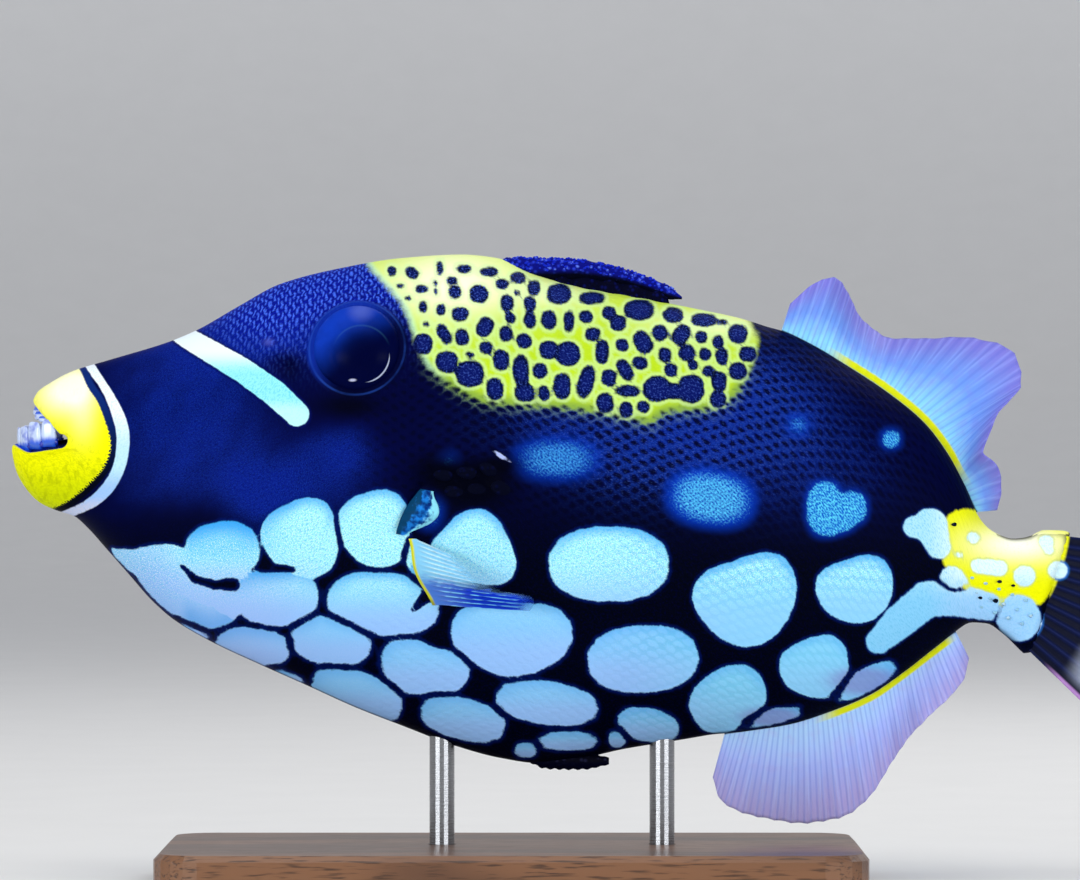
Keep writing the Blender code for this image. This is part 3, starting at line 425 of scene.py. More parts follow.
# %% Raising the orbits
EYE_EDGE = 8.9
EYE_DIP = 1.5
ORBIT_FADE = (10.6, 13.0)
ORBIT_REACH = 14.0
ORBIT_NOT_PAST = 90.0
NOT_NEAR = 40.0
flat = surface.copy()
view_x, view_z = side_view(surface)
orbit_gap = np.full(view_x.shape, NOT_NEAR)
for way in (-1, 1):
    place, axis = eye_frame(way)
    axis = np.array(axis)
    away = surface - np.array(place)
    high = away @ axis
    d = np.linalg.norm(away - high[..., None] * axis, axis=2)
    here = (surface[..., 1] * way > 0) & (d < ORBIT_REACH) & (surface[..., 0] < ORBIT_NOT_PAST)
    dome = orbit_dome(np.minimum(d, ORBIT_RADIUS))
    smooth = (high + dome + np.sqrt((high - dome) ** 2 + 1.0)) / 2
    raised = high + (smooth - high) * (1 - smooth_step(*ORBIT_FADE, d))
    sunk = raised - EYE_DIP * (1 - smooth_step(EYE_EDGE - EYE_DIP, EYE_EDGE + 0.6, d))
    surface = np.where(here[..., None], surface + (sunk - high)[..., None] * axis, surface)
    orbit_gap = np.where(here, np.minimum(orbit_gap, d), orbit_gap)
print("orbit stands out, mm:", round(float(np.max(np.linalg.norm(surface - flat, axis=2))), 2))

# %% Nostrils, gill hollow, fin bases and creases
GILL_TOP = (82.4, 79.0)
GILL_BOTTOM = (77.6, 70.4)
PECTORAL_TOP = (80.4, 69.6)
PECTORAL_BOTTOM = (85.0, 56.6)
SOFT_DORSAL_BASE = (153.8, 192.6)
ANAL_BASE = (142.6, 188.6)
NOSTRIL_HORN = (51.7, 108.0)
NOSTRIL_PIT = ((52.9, 105.1), (55.3, 104.4))
GILL_SLIT = ((76.2, 69.8), (78.6, 73.6), (81.6, 79.6))
GILL_HOLLOW = ((84.0, 79.6), (93.5, 80.6))
CREASES = (((12.6, 86.6), (14.6, 84.2)), ((11.6, 85.6), (13.2, 83.2)), ((13.6, 87.6), (16.0, 86.0)))
PECTORAL_BASE = (PECTORAL_TOP, ((PECTORAL_TOP[0] + PECTORAL_BOTTOM[0]) / 2 - 0.6, 63.2), PECTORAL_BOTTOM)
HORN_TALL = 0.95
HOLLOW_DEEP = 0.9
HOLLOW_RADIUS = 5.4
# a line on the skin, the height there, how far from the line it peaks, and the square of its spread
RELIEF_LINES = (
    (NOSTRIL_PIT, -1.2, 0.0, 0.7), (NOSTRIL_PIT, 0.35, 1.5, 0.4), (GILL_SLIT, -0.9, 0.0, 0.6),
    (PECTORAL_BASE, 0.4, 0.0, 3.0), *((crease, -0.16, 0.0, 0.10) for crease in CREASES),
)


def hollow_depth(x, z):
    """How deep the hollow behind the gill is at a point of the side view."""
    share = np.clip(1 - to_line(x, z, GILL_HOLLOW) / HOLLOW_RADIUS, 0, 1)
    return HOLLOW_DEEP * share * share * (3 - 2 * share)


x, z = view_x, view_z
height = HORN_TALL * np.exp(-((x - NOSTRIL_HORN[0]) ** 2 + (z - NOSTRIL_HORN[1]) ** 2) / 0.8)
height -= hollow_depth(x, z)
for line, tall, away, spread in RELIEF_LINES:
    height += tall * np.exp(-(to_line(x, z, line) - away) ** 2 / spread)
near_mid = np.exp(-(surface[..., 1] / 2.6) ** 2)
dorsal_run = smooth_step(150, 156, x) * (1 - smooth_step(190, 195, x))
anal_run = smooth_step(139, 146, x) * (1 - smooth_step(186, 192, x))
FIN_SWELL = 0.5
LIP_SWELL = 0.35
LIP_SWELL_ROW = 5
edge_swell = FIN_SWELL * near_mid * np.where(np.sin(surface_turn) > 0, dorsal_run, anal_run)
from_lip = np.arange(len(surface))[:, None] - LIP_SWELL_ROW
lip_swell = LIP_SWELL * np.exp(-(from_lip / 4.0) ** 2) * np.ones(COLUMNS)
surface = surface + (height + edge_swell + lip_swell)[..., None] * normals
print("deepest detail, mm:", round(float(height.min()), 2), "highest:", round(float(height.max()), 2))

# %% [markdown]
# The lips roll over into the mouth as half circles, and the lining narrows to a closed throat behind the
# teeth. At the corners the two lips meet, so the direction of the roll is blended along the loop.

# %% Rolled lips, lining of the mouth and the closed tail end
ROLL_ROWS = 9
FRONT_LIMIT = 0.12
LINING = (0.10, 0.25, 0.42, 0.60, 0.78, 0.93)
THROAT = np.array([13.0, 0.0, 89.4])
base = surface[0]
facing = normals[0]
ahead = base - surface[3]
ahead -= facing * np.sum(ahead * facing, axis=1, keepdims=True)
ahead /= np.maximum(np.linalg.norm(ahead, axis=1, keepdims=True), 1e-9)
for _ in range(10):
    ahead = (np.roll(ahead, 1, axis=0) + ahead + np.roll(ahead, -1, axis=0)) / 3
ahead /= np.linalg.norm(ahead, axis=1, keepdims=True)
rolled = []
for a in np.linspace(math.pi, 0, ROLL_ROWS + 1)[:-1]:
    rolled.append(base - LIP_ROLL * facing + LIP_ROLL * (math.cos(a) * facing + math.sin(a) * ahead))
inner = rolled[0]
lining = [inner + (THROAT - inner) * share for share in LINING[::-1]]
centre_tail = surface[-1].mean(axis=0)
ends = []
for k in range(1, TAIL_ROWS + 1):
    turn = math.pi / 2 * k / TAIL_ROWS
    open_share = math.cos(turn)
    lower = 0.06 * (1 - open_share)
    ring = centre_tail + (surface[-1] - centre_tail) * (open_share, open_share * 0.98 + 0.01, 0)
    ring[:, 0] = surface[-1][:, 0] + TAIL_ROUND * math.sin(turn)
    ring[:, 2] = surface[-1][:, 2] * (1 - lower) + centre_tail[2] * lower
    ends.append(ring)
front_rows = np.array(lining + rolled)
skin_points = np.concatenate([front_rows, surface, np.array(ends)])
skin_points[..., 0] = np.maximum(skin_points[..., 0], FRONT_LIMIT)
LEAD_ROWS = len(front_rows)
print("skin rows:", len(skin_points), "four-sided faces:", (len(skin_points) - 1) * COLUMNS)

# %% [markdown]
# The markings are drawn as distances. For each point of the skin I work out how many millimetres it lies
# inside an ellipse, a ring, a bar or an outline, and store that number. The material turns the number into
# a clean edge and roughens it with the scales, which stays crisp at any distance and needs no picture. The
# far side of a real fish is never an exact mirror image, so there the outlines are gently bent.

# %% Distances to the markings
BELLY_SPOTS = (
    (42, 66.6, 7.6, 6, 8), (58, 69.2, 7.6, 8, 20), (72.6, 71.2, 7.2, 7.8, 10), (53, 57.4, 8.4, 6),
    (74.2, 56, 11.4, 6.4, -6), (92.2, 66.8, 8.6, 7.4), (119.4, 64, 12.2, 7.6), (100, 49.2, 12.2, 7.4, -3),
    (126.2, 45, 11.2, 6.8, 3), (147, 57, 10.4, 8.8, 22), (168.8, 59, 7.8, 6.6, 15),
    (160.8, 43.4, 7, 6.2, 10), (143.2, 37, 8, 6.2, 30), (170.6, 40.6, 7, 2.4, 28), (152, 33.4, 6, 1.6, 12),
    (48.2, 47.4, 7.6, 4, -6), (63.8, 48.6, 8.2, 5, -10), (82, 43.2, 9.2, 5.2, -12),
    (107, 36.2, 10.4, 4.4, -8), (69, 37.8, 9.6, 4.8, -20), (90.2, 33, 8.8, 4.2, -14),
    (127.2, 31.8, 6.4, 3.4, -12), (111.2, 28.6, 6, 2), (102.8, 26.8, 2.4, 1.6), (121, 29, 1.8, 1.8),
    (36, 50.6, 4, 1.2, -28), (55.2, 41.4, 3.6, 1, -20),
)
DIM_SPOTS = (
    (139.8, 77.2, 9, 5.8, -8, 0.8), (162.6, 75.2, 3.6, 5.2, 0, 1), (167.6, 75.2, 3.2, 3.2, 0, 1),
    (164.4, 73, 4.8, 3, 15, 1), (109, 85, 8.8, 4.4, 0, 0.5), (157.2, 91.8, 2.4, 2.2, 0, 0.5),
    (175.8, 89, 1.6, 1.6, 0, 0.95), (83.6, 74.6, 2.6, 3.6, -14, 0.5), (87.2, 84.4, 2, 1.6, 30, 0.35),
)
SADDLE_BLOBS = (
    (76, 122.6, 0.8, 1), (80, 122.2, 1.4, 1, -30), (85.6, 123.2, 0.6, 1.4), (90.4, 123, 1.5, 0.8),
    (95.4, 122.4, 1.7, 0.9), (101.2, 121.2, 1.6, 1.1), (98, 120, 1.2, 1), (101, 118.2, 0.6, 0.6),
    (82, 119, 1.2, 0.8), (88, 120.6, 1, 0.8), (88.6, 118.4, 1.2, 1.3), (84.6, 120.2, 0.4, 0.5),
    (84.8, 118.4, 0.4, 0.6), (77.6, 119.6, 0.8, 0.4), (79.2, 117.2, 0.6, 0.4), (93.4, 118, 1.8, 1.8),
    (99, 116.2, 1.3, 1.6), (99.6, 113.2, 1, 1.1), (104.4, 119.2, 1.2, 1.5), (103.6, 116, 1.2, 1.5),
    (103.6, 112.8, 1.2, 1.7), (109.4, 118, 2.4, 2), (116, 117.2, 2.6, 1.2), (82.2, 115.4, 0.8, 1.1),
    (85.8, 114.8, 0.9, 1.1), (89.6, 114, 1.7, 1.4), (107.4, 112.8, 1.5, 1.9), (111.4, 112.6, 1, 2.2),
    (114.8, 113.4, 1.3, 1.3), (119.4, 114.2, 1.3, 1.3), (121.2, 112.2, 1.6, 1.5), (125.4, 114.8, 3, 2),
    (132.2, 113.8, 2, 1.5), (138.4, 112.8, 2.6, 1.3), (142, 112.4, 1, 0.5), (145.2, 110, 1.9, 1.9),
    (82.8, 112, 0.6, 0.5), (86.4, 110, 1.1, 2.2, 30), (90, 109.4, 1.3, 1.7), (94.6, 111.4, 1.6, 2.1, -30),
    (98.8, 110, 1.3, 1.6), (102.4, 108.6, 1.5, 1.5), (116.2, 110, 1.5, 1.3), (118, 106.4, 1.3, 2.4),
    (122, 107.8, 1.3, 1.3), (126.2, 108.4, 1.7, 2.4, 30), (129.6, 110.2, 1.5, 1.6),
    (133.8, 109.8, 1.6, 2.2, -30), (137.8, 109.4, 1.2, 1.2), (141.2, 108.4, 1.1, 1.3),
    (142, 105.4, 1.2, 1.7), (147.2, 106, 1.7, 1.5), (145.2, 102.6, 1.7, 1.7), (82.2, 108, 1.9, 2.1),
    (94.8, 107.2, 1.3, 1.3), (91.6, 105.8, 0.8, 0.6), (87, 104.4, 2.2, 2.2), (91.6, 102, 2.8, 2.6),
    (97.8, 104.8, 1.6, 2.1), (107.4, 106.8, 2, 1.8), (111.2, 106, 2.4, 2.4), (105.6, 102.6, 1.4, 1.5),
    (101.8, 102.6, 1.6, 3.2), (102.6, 98.2, 2, 1.8), (96.6, 99, 1.7, 2.2), (106.4, 98.2, 1.2, 1.5),
    (110, 99.6, 1.7, 2.6), (114.8, 100.4, 1.6, 3.4, -15), (119.4, 101.2, 1.5, 1.7),
    (122.6, 102.8, 1.3, 2.4, 30), (125.6, 104.2, 1.5, 1.3), (123.2, 98.6, 2.6, 1.1),
    (130.6, 105.8, 1.3, 1.5), (131.8, 102.8, 1.3, 1.3), (135, 106.2, 1.6, 1.6), (138.6, 106, 1.2, 1.2),
    (136.2, 103.8, 1, 1), (129, 99, 2.7, 2.6), (132.2, 98.6, 2.8, 1.6), (135.8, 99, 2.6, 2.8),
    (139.2, 102.6, 1.1, 1.1), (141.4, 100.4, 1.5, 2.1), (141.2, 97, 1.6, 1.7), (118.6, 96.2, 1.7, 2),
    (126.2, 95.4, 1.2, 1.2), (122.8, 94.8, 1.3, 1.6),
)
THROAT_PATCH = (
    (18.6, 67.6), (22.8, 66.8), (27.6, 67.8), (31.6, 68.2), (34.6, 67.2), (45.6, 64.8), (50, 60.8),
    (45.4, 53.4), (43.6, 51.8), (40.8, 50.8), (36.4, 51.4), (31.6, 53.8), (26.2, 59), (25.2, 61.2),
    (22.6, 63.2),
)
FIN_LOBE = (
    (79.6, 69.2), (78.4, 68), (78.6, 64.8), (79.8, 61.8), (81.8, 59.2), (84, 57.8), (85.8, 58),
    (84.8, 60.8), (83, 64.4), (81, 67.6),
)
MUZZLE_EDGE = (
    (13.2, 103.6), (14, 102.2), (15.2, 99.2), (17.2, 96.6), (18.4, 93.4), (19.6, 89.8), (19.8, 87),
    (18.8, 84), (17.4, 82), (14.4, 79), (10.8, 76.2), (6.8, 74.6),
)
RING_FRONT = (
    (14, 104.4), (15.2, 102.6), (18, 98.8), (19.6, 95), (20.8, 91), (21, 87.4), (20.2, 83.4), (18.4, 80),
    (15, 76.8), (11.8, 75.2), (7.6, 73.6),
)
RING_REAR = (
    (16, 104.8), (17.2, 102.8), (20, 98.6), (22, 95.2), (23.4, 91.6), (23.6, 87.4), (22.8, 83.4),
    (21, 79.4), (18, 76.2), (15, 74.6), (10.8, 73),
)
SADDLE_EDGE = (
    (70.4, 124.4), (74.2, 120.2), (78.2, 115.8), (79.8, 111.6), (80.6, 108), (83.2, 103), (88.4, 99.4),
    (93.6, 96.6), (99.8, 96), (107.8, 95.6), (116, 94.8), (126.2, 92.6), (128, 92), (130.4, 94.8),
    (140.6, 95), (144, 96.8), (147.8, 102.8), (149.6, 108.4), (148, 111.6), (145.6, 116.8), (137.6, 128.8),
    (101.6, 132.8), (71.6, 128.8),
)
STALK_GOLD = (
    (185.8, 73), (186.2, 68.8), (185.8, 64.8), (187.6, 61.8), (190.4, 58.8), (193.2, 56.4), (197.6, 55.4),
    (203.6, 54.8), (207, 56.6), (209.4, 61.8), (211.2, 67.8), (211.8, 72.8), (205.6, 75.8), (197.6, 72.8),
    (190.6, 75.8),
)
CHEEK_BAR = ((30.4, 112.6), (35.4, 109.0), (46.2, 102.7), (52.5, 98.2), (57.0, 94.0))
CHEEK_BAR_HALF = (1.9, 2.1, 2.45, 2.6, 2.45)
THROAT_SLITS = (
    (((34, 63.6), (36.6, 60.9), (40.4, 59.8), (44.2, 59.9)), (0.3, 0.75, 0.8, 1.3)),
    (((50.6, 65.6), (50, 63.4), (56.4, 62.9)), (0.2, 1.1, 0.5)),
    (((86, 58.6), (82.8, 57.4), (80.2, 54.8)), (0.9, 1.3, 0.4)),
)
STALK_PALE = (
    (((180.4, 71.4), (183.6, 71.6), (185.4, 67.4)), (2.2, 3.6, 2.4)),
    (((192, 69.2), (192.4, 69.2)), (1.2, 1.2)), (((189.2, 65.8), (189.6, 65.8)), (0.6, 0.6)),
    (((193, 63.6), (197.4, 63.2)), (1.4, 1.7)), (((202.4, 61.6), (202.6, 61.6)), (2.1, 2.1)),
    (((209, 62.8), (209.2, 62.8)), (1.8, 1.8)), (((206.8, 68.4), (207.4, 66.8)), (1.5, 1)),
    (((201.2, 53.4), (201.4, 53)), (4.5, 4.5)), (((188, 61), (188.4, 60)), (2.6, 2.8)),
    (((173.4, 48.6), (177.2, 52.2), (183, 57), (188.2, 57), (195.4, 55.4)), (2.6, 3.4, 3.6, 3.4, 2.8)),
)
JOINED_SPOTS = (0, 1, 3)
SPOT_CORNERS = {
    1: (0.5, 56), 2: (0.4, 50), 5: (1.0, 83), 7: (0.6, -90), 9: (0.7, 46), 10: (0.4, 50), 11: (0.4, 60),
    17: (0.5, 120),
}


def soften(line, closed=False, rounds=3):
    """The same line with its corners cut off a few times."""
    points = np.array(line, float)
    for _ in range(rounds):
        here, ahead = (points, np.roll(points, -1, axis=0)) if closed else (points[:-1], points[1:])
        cut = np.stack([0.75 * here + 0.25 * ahead, 0.25 * here + 0.75 * ahead], axis=1).reshape(-1, 2)
        points = cut if closed else np.concatenate([points[:1], cut, points[-1:]])
    return [tuple(p) for p in points]


def into_ellipse(x, z, ellipse):
    """How deep each point lies in an ellipse, and how high it is in it, from -1 to 1.

    An ellipse is its middle, two half sizes and, where it leans, a tilt in degrees.
    """
    cx, cz, a, b, tilt = (*ellipse, 0)[:5]
    t = math.radians(tilt)
    u = (x - cx) * math.cos(t) + (z - cz) * math.sin(t)
    v = (z - cz) * math.cos(t) - (x - cx) * math.sin(t)
    power = 2.3
    share = ((np.abs(u) / a) ** power + (np.abs(v) / b) ** power + 1e-9) ** (1 / power)
    slope = np.sqrt((u / a ** 2) ** 2 + (v / b ** 2) ** 2 + 1e-9)
    deep = np.where(share < 1, (1 - share) * min(a, b), share * (1 - share) / slope)
    return deep, np.clip((z - cz) / b, -1, 1)


def corners(x, z, ellipse, size, turn):
    """Three soft corners that bend an ellipse's edge, the first of them at a turn in degrees."""
    around = np.arctan2(z - ellipse[1], x - ellipse[0]) - math.radians(turn)
    near = np.hypot(x - ellipse[0], z - ellipse[1]) / min(ellipse[2:4])
    return size * np.cos(3 * around) * np.clip(near, 0, 1)


def into_ellipses(x, z, ellipses):
    """How deep each point lies in the nearest ellipse, how high it is in it, and which one it is."""
    deep = np.full(np.shape(x), -60.0)
    lift = np.zeros(np.shape(x))
    which = np.zeros(np.shape(x), int)
    for i, ellipse in enumerate(ellipses):
        here, high = into_ellipse(x, z, ellipse)
        lift = np.where(here > deep, high, lift)
        which = np.where(here > deep, i, which)
        deep = np.maximum(deep, here)
    return deep, lift, which


def into_outline(x, z, outline):
    """How deep each point lies inside a closed outline; outside it the number is below zero."""
    closed = outline + outline[:1]
    inside = np.zeros(np.shape(x), bool)
    for (ax, az), (bx, bz) in zip(closed, closed[1:]):
        crosses = (az > z) != (bz > z)
        at = ax + (z - az) * (bx - ax) / (bz - az if bz != az else 1e-9)
        inside ^= crosses & (x < at)
    gap = to_line(x, z, closed)
    return np.where(inside, gap, -gap)


def ahead_of(x, z, line):
    """How far each point lies in front of a line that runs from the back down to the belly."""
    xs = np.array([p[0] for p in line])[::-1]
    zs = np.array([p[1] for p in line])[::-1]
    gap = to_line(x, z, line)
    return np.where(x < np.interp(z, zs, xs), gap, -gap)


def parted(layers, gap):
    """The deepest of several layers, each kept a gap away from the others."""
    ranked = np.sort(np.array(layers), axis=0)
    return np.minimum(ranked[-1], (ranked[-1] - ranked[-2]) / 2 - gap)


x, z = side_view(skin_points)
far_side = skin_points[..., 1] > 0
bent_x = x + np.where(far_side, 1.9 * np.sin(z * 0.10 + 0.7) + 1.1 * np.sin(x * 0.13), 0)
bent_z = z + np.where(far_side, 1.5 * np.sin(x * 0.09 + 1.1), 0)
spot_lift = into_ellipses(bent_x, bent_z, BELLY_SPOTS)[1]
throat = into_outline(bent_x, bent_z, soften(THROAT_PATCH, True))
layers = [into_ellipse(bent_x, bent_z, ellipse)[0] for ellipse in BELLY_SPOTS]
for i, (size, turn) in SPOT_CORNERS.items():
    layers[i] += corners(bent_x, bent_z, BELLY_SPOTS[i], size, turn)
joined = np.max([throat] + [layers[i] for i in JOINED_SPOTS], axis=0)
layers = [joined, into_outline(x, z, soften(FIN_LOBE, True))] + [
    d for i, d in enumerate(layers) if i not in JOINED_SPOTS]
spot = parted(layers, 0.5)
for path, radii in THROAT_SLITS:
    spot = np.minimum(spot, to_line(bent_x, bent_z, path, radii))
dim, _, which = into_ellipses(bent_x, bent_z, DIM_SPOTS)
dim_power = np.array([d[5] for d in DIM_SPOTS])[which]
saddle = into_outline(bent_x, z, soften(SADDLE_EDGE, True, 2))
blob = into_ellipses(bent_x, bent_z, SADDLE_BLOBS)[0]
muzzle = ahead_of(x, z, soften(MUZZLE_EDGE))
ring = np.minimum(-ahead_of(x, z, soften(RING_FRONT)), ahead_of(x, z, soften(RING_REAR)))
bar = -to_line(x, z, CHEEK_BAR, CHEEK_BAR_HALF)


def stalk_marks(x, z):
    """How deep points lie in the gold of the tail stalk and in its pale spots."""
    gold = into_outline(x, z, soften(STALK_GOLD, True, 2))
    return gold, parted([-to_line(x, z, path, radii) for path, radii in STALK_PALE], 0.3)


gold, pale = stalk_marks(x, z)
print("points inside a belly spot:", int((spot > 0).sum()), "inside the saddle:", int((saddle > 0).sum()))


# %% Light and dark of the blue skin
GLOWS = (
    (36, 92, 18, 22, 0.5), (46, 112, 20, 8, 0.55), (56, 118, 22, 9, 0.75), (60, 80, 14, 8, 0.32),
    (50, 77, 7, 6, 0.55), (66, 87, 6, 5, 0.45), (112, 90, 24, 9, 0.32), (138, 90, 16, 10, 0.38),
    (150, 100, 14, 8, 0.32), (160, 84, 18, 14, 0.22), (186, 92, 12, 18, 0.05),
)
SHADES = (
    (92, 92, 9, 7, 0.9), (90, 80, 11, 7, 1), (120, 117, 22, 2.2, 0.6), (80, 98, 6, 8, 0.8),
    (60, 96, 9, 5, 0.7), (54, 104, 5, 3.4, 0.7), (36, 72, 12, 5, 0.7), (190, 84, 12, 18, 0.8),
    (96, 74, 14, 9, 0.8), (150, 110, 10, 3.5, 0.8), (164, 105, 8, 4.5, 0.85), (174, 98, 6, 6, 0.9),
    (181, 88, 5, 8, 0.9),
)
NETTED = (
    (112, 93, 16, 7, 0.55), (134, 92, 16, 11, 0.95), (150, 95, 12, 12, 1), (126, 84, 14, 7, 0.7),
    (162, 84, 14, 9, 0.3),
)
DASHED = ((48, 115, 10, 7, 0.8), (62, 119, 16, 9, 1.0), (76, 122, 8, 6, 0.9))
# painted highlights: soft pale patches where the light falls on the top of the muzzle, the upper jaw, the
# tail stalk, the saddle and the top of the ring
PAINTED_HIGHLIGHTS = (
    (9.6, 98.6, 4.6, 4, 0.9), (13.4, 99.6, 3.2, 4.2, 0.85), (201.5, 68, 9.5, 3.4, 1),
    (14.2, 93, 2.4, 4, 0.28), (88, 120, 13, 7, 1), (140, 112, 13, 3, 0.6), (108, 118, 8, 3, 0.5),
    (24, 102, 6, 4, 0.3),
)
GLINT = (((96.2, 86.8), (97.6, 85.6), (100.0, 84.4)), (0.2, 0.45, 0.15))
HORN = ((51.3, 108.4, 0.8, 0.6, 1.0),)
# painted shadows: dark patches in the hollow behind the gill slit and under and in front of the eye, where
# shade falls
PAINTED_SHADOWS = (
    (92, 79.4, 10, 5.4, 1), (84, 84, 6, 4, 0.5), (98, 84.2, 5, 2.4, 0.5), (67.5, 95.6, 9, 3.4, 0.75),
    (56, 103.5, 3.2, 4, 0.5),
)
DUSKS = ((170.6, 40.6, 8, 3.2, 1), (152, 33.4, 7, 2.2, 1))
PATCHES = {"painted_highlight": PAINTED_HIGHLIGHTS, "net": NETTED, "dash": DASHED, "painted_shadow": PAINTED_SHADOWS, "horn": HORN, "dusk": DUSKS}


def soft_patches(x, z, patches):
    """Soft round patches of light, added up."""
    total = np.zeros(np.shape(x))
    for cx, cz, a, b, strength in patches:
        total += strength * np.exp(-((x - cx) / a) ** 2 - ((z - cz) / b) ** 2)
    return np.clip(total, 0, 1)


glow = (0.05 + soft_patches(x, z, GLOWS)) * (1 - soft_patches(x, z, SHADES))
glow = glow * smooth_step(56, 78, z)
row = np.arange(len(skin_points))[:, None] + 0 * x
inner = np.clip((LEAD_ROWS + 1 - row) / (LEAD_ROWS + 1), 0, 1)
from_eye = (-(x - EYE_AT[0]) + (z - EYE_AT[1])) / 28
upper_left = np.clip(0.5 + from_eye, 0, 1)
all_orbit = np.full(x.shape, NOT_NEAR)
all_orbit[LEAD_ROWS:LEAD_ROWS + len(surface)] = orbit_gap
ordered = np.roll(skin_points, -COLUMNS // 4, axis=1)
steps = np.linalg.norm(np.diff(ordered, axis=1), axis=2)
run = np.concatenate([np.zeros((len(ordered), 1)), np.cumsum(steps, axis=1)], axis=1)
run = np.minimum(run, run[:, -1:] + steps[:, :1] - run)
girth = np.roll(run, COLUMNS // 4, axis=1)
print("girth half way, mm:", round(float(girth[150].max()), 1))

# %% The skin as one piece
skin_rows = len(skin_points)
points = np.concatenate([skin_points.reshape(-1, 3), THROAT[None, :]])
faces = grid_faces(skin_rows, COLUMNS, True)
throat_point = skin_rows * COLUMNS
faces += [(throat_point, c, (c + 1) % COLUMNS) for c in range(COLUMNS)]


def with_throat(values, at_throat):
    """A number for each point of the skin, and one for the point that closes the throat."""
    return np.append(np.broadcast_to(values, x.shape).ravel(), at_throat)


FAR_OUTSIDE = -60.0
keel = np.exp(-(skin_points[..., 1] / 2.2) ** 2) * (z < 70)
marks = {
    "spot": (spot, 0), "spot_lift": (spot_lift, 0), "dim": (dim, 0), "dim_power": (dim_power, 0),
    "saddle": (saddle, FAR_OUTSIDE), "blob": (blob, 0), "muzzle": (muzzle, 0), "ring": (ring, FAR_OUTSIDE),
    "bar": (bar, FAR_OUTSIDE), "gold": (gold, FAR_OUTSIDE), "pale": (pale, FAR_OUTSIDE), "glow": (glow, 0),
    "inner": (inner, 1), "orbit": (all_orbit, NOT_NEAR), "upper_left": (upper_left, 0), "keel": (keel, 0),
    "glint": (-to_line(x, z, *GLINT), FAR_OUTSIDE), "tall": (z, 89), "along": (x, 13),
}
for name, patches in PATCHES.items():
    marks[name] = (soft_patches(x, z, patches), 0)
marks = {name: with_throat(*values) for name, values in marks.items()}
plan = np.column_stack([with_throat(skin_points[..., 0], 13), with_throat(girth, 0)])
skin = make_piece("skin", points, faces, marks, plan)
flank_face = skin.data.polygons[COLUMNS * 120]
print("skin faces:", len(skin.data.polygons), "a normal:", [round(v, 2) for v in flank_face.normal])

# %% [markdown]
# Every finish is a small tree of nodes. A helper keeps the trees short: it adds a node, joins its inputs
# and hands back its output. Colours are given as the numbers a picture editor shows, and turned into the
# linear light that the shader works in.

# %% A short way to join a finish's nodes
def tone(red, green, blue):
    """Linear colour of a screen colour from 0 to 255."""
    parts = [v / 255 for v in (red, green, blue)]
    linear = [v / 12.92 if v <= 0.04045 else ((v + 0.055) / 1.055) ** 2.4 for v in parts]
    return (*linear, 1.0)


class Value:
    """A number that a node gives out, so that finishes can be written as plain arithmetic."""

    def __init__(self, finish, socket):
        self.finish = finish
        self.socket = socket

    def __add__(self, other):
        return self.finish.calc("ADD", self, other)

    def __sub__(self, other):
        return self.finish.calc("SUBTRACT", self, other)

    def __rsub__(self, other):
        return self.finish.calc("SUBTRACT", other, self)

    def __mul__(self, other):
        return self.finish.calc("MULTIPLY", self, other)

    __radd__ = __add__
    __rmul__ = __mul__

    def __abs__(self):
        return self.finish.calc("ABSOLUTE", self)

    def rise(self, low, high, start=0.0, end=1.0):
        """A smooth change from start to end while this number goes from low to high."""
        made = self.finish.node("MapRange", interpolation_type="SMOOTHSTEP")
        return self.finish.fill(made, (self, low, high, start, end))


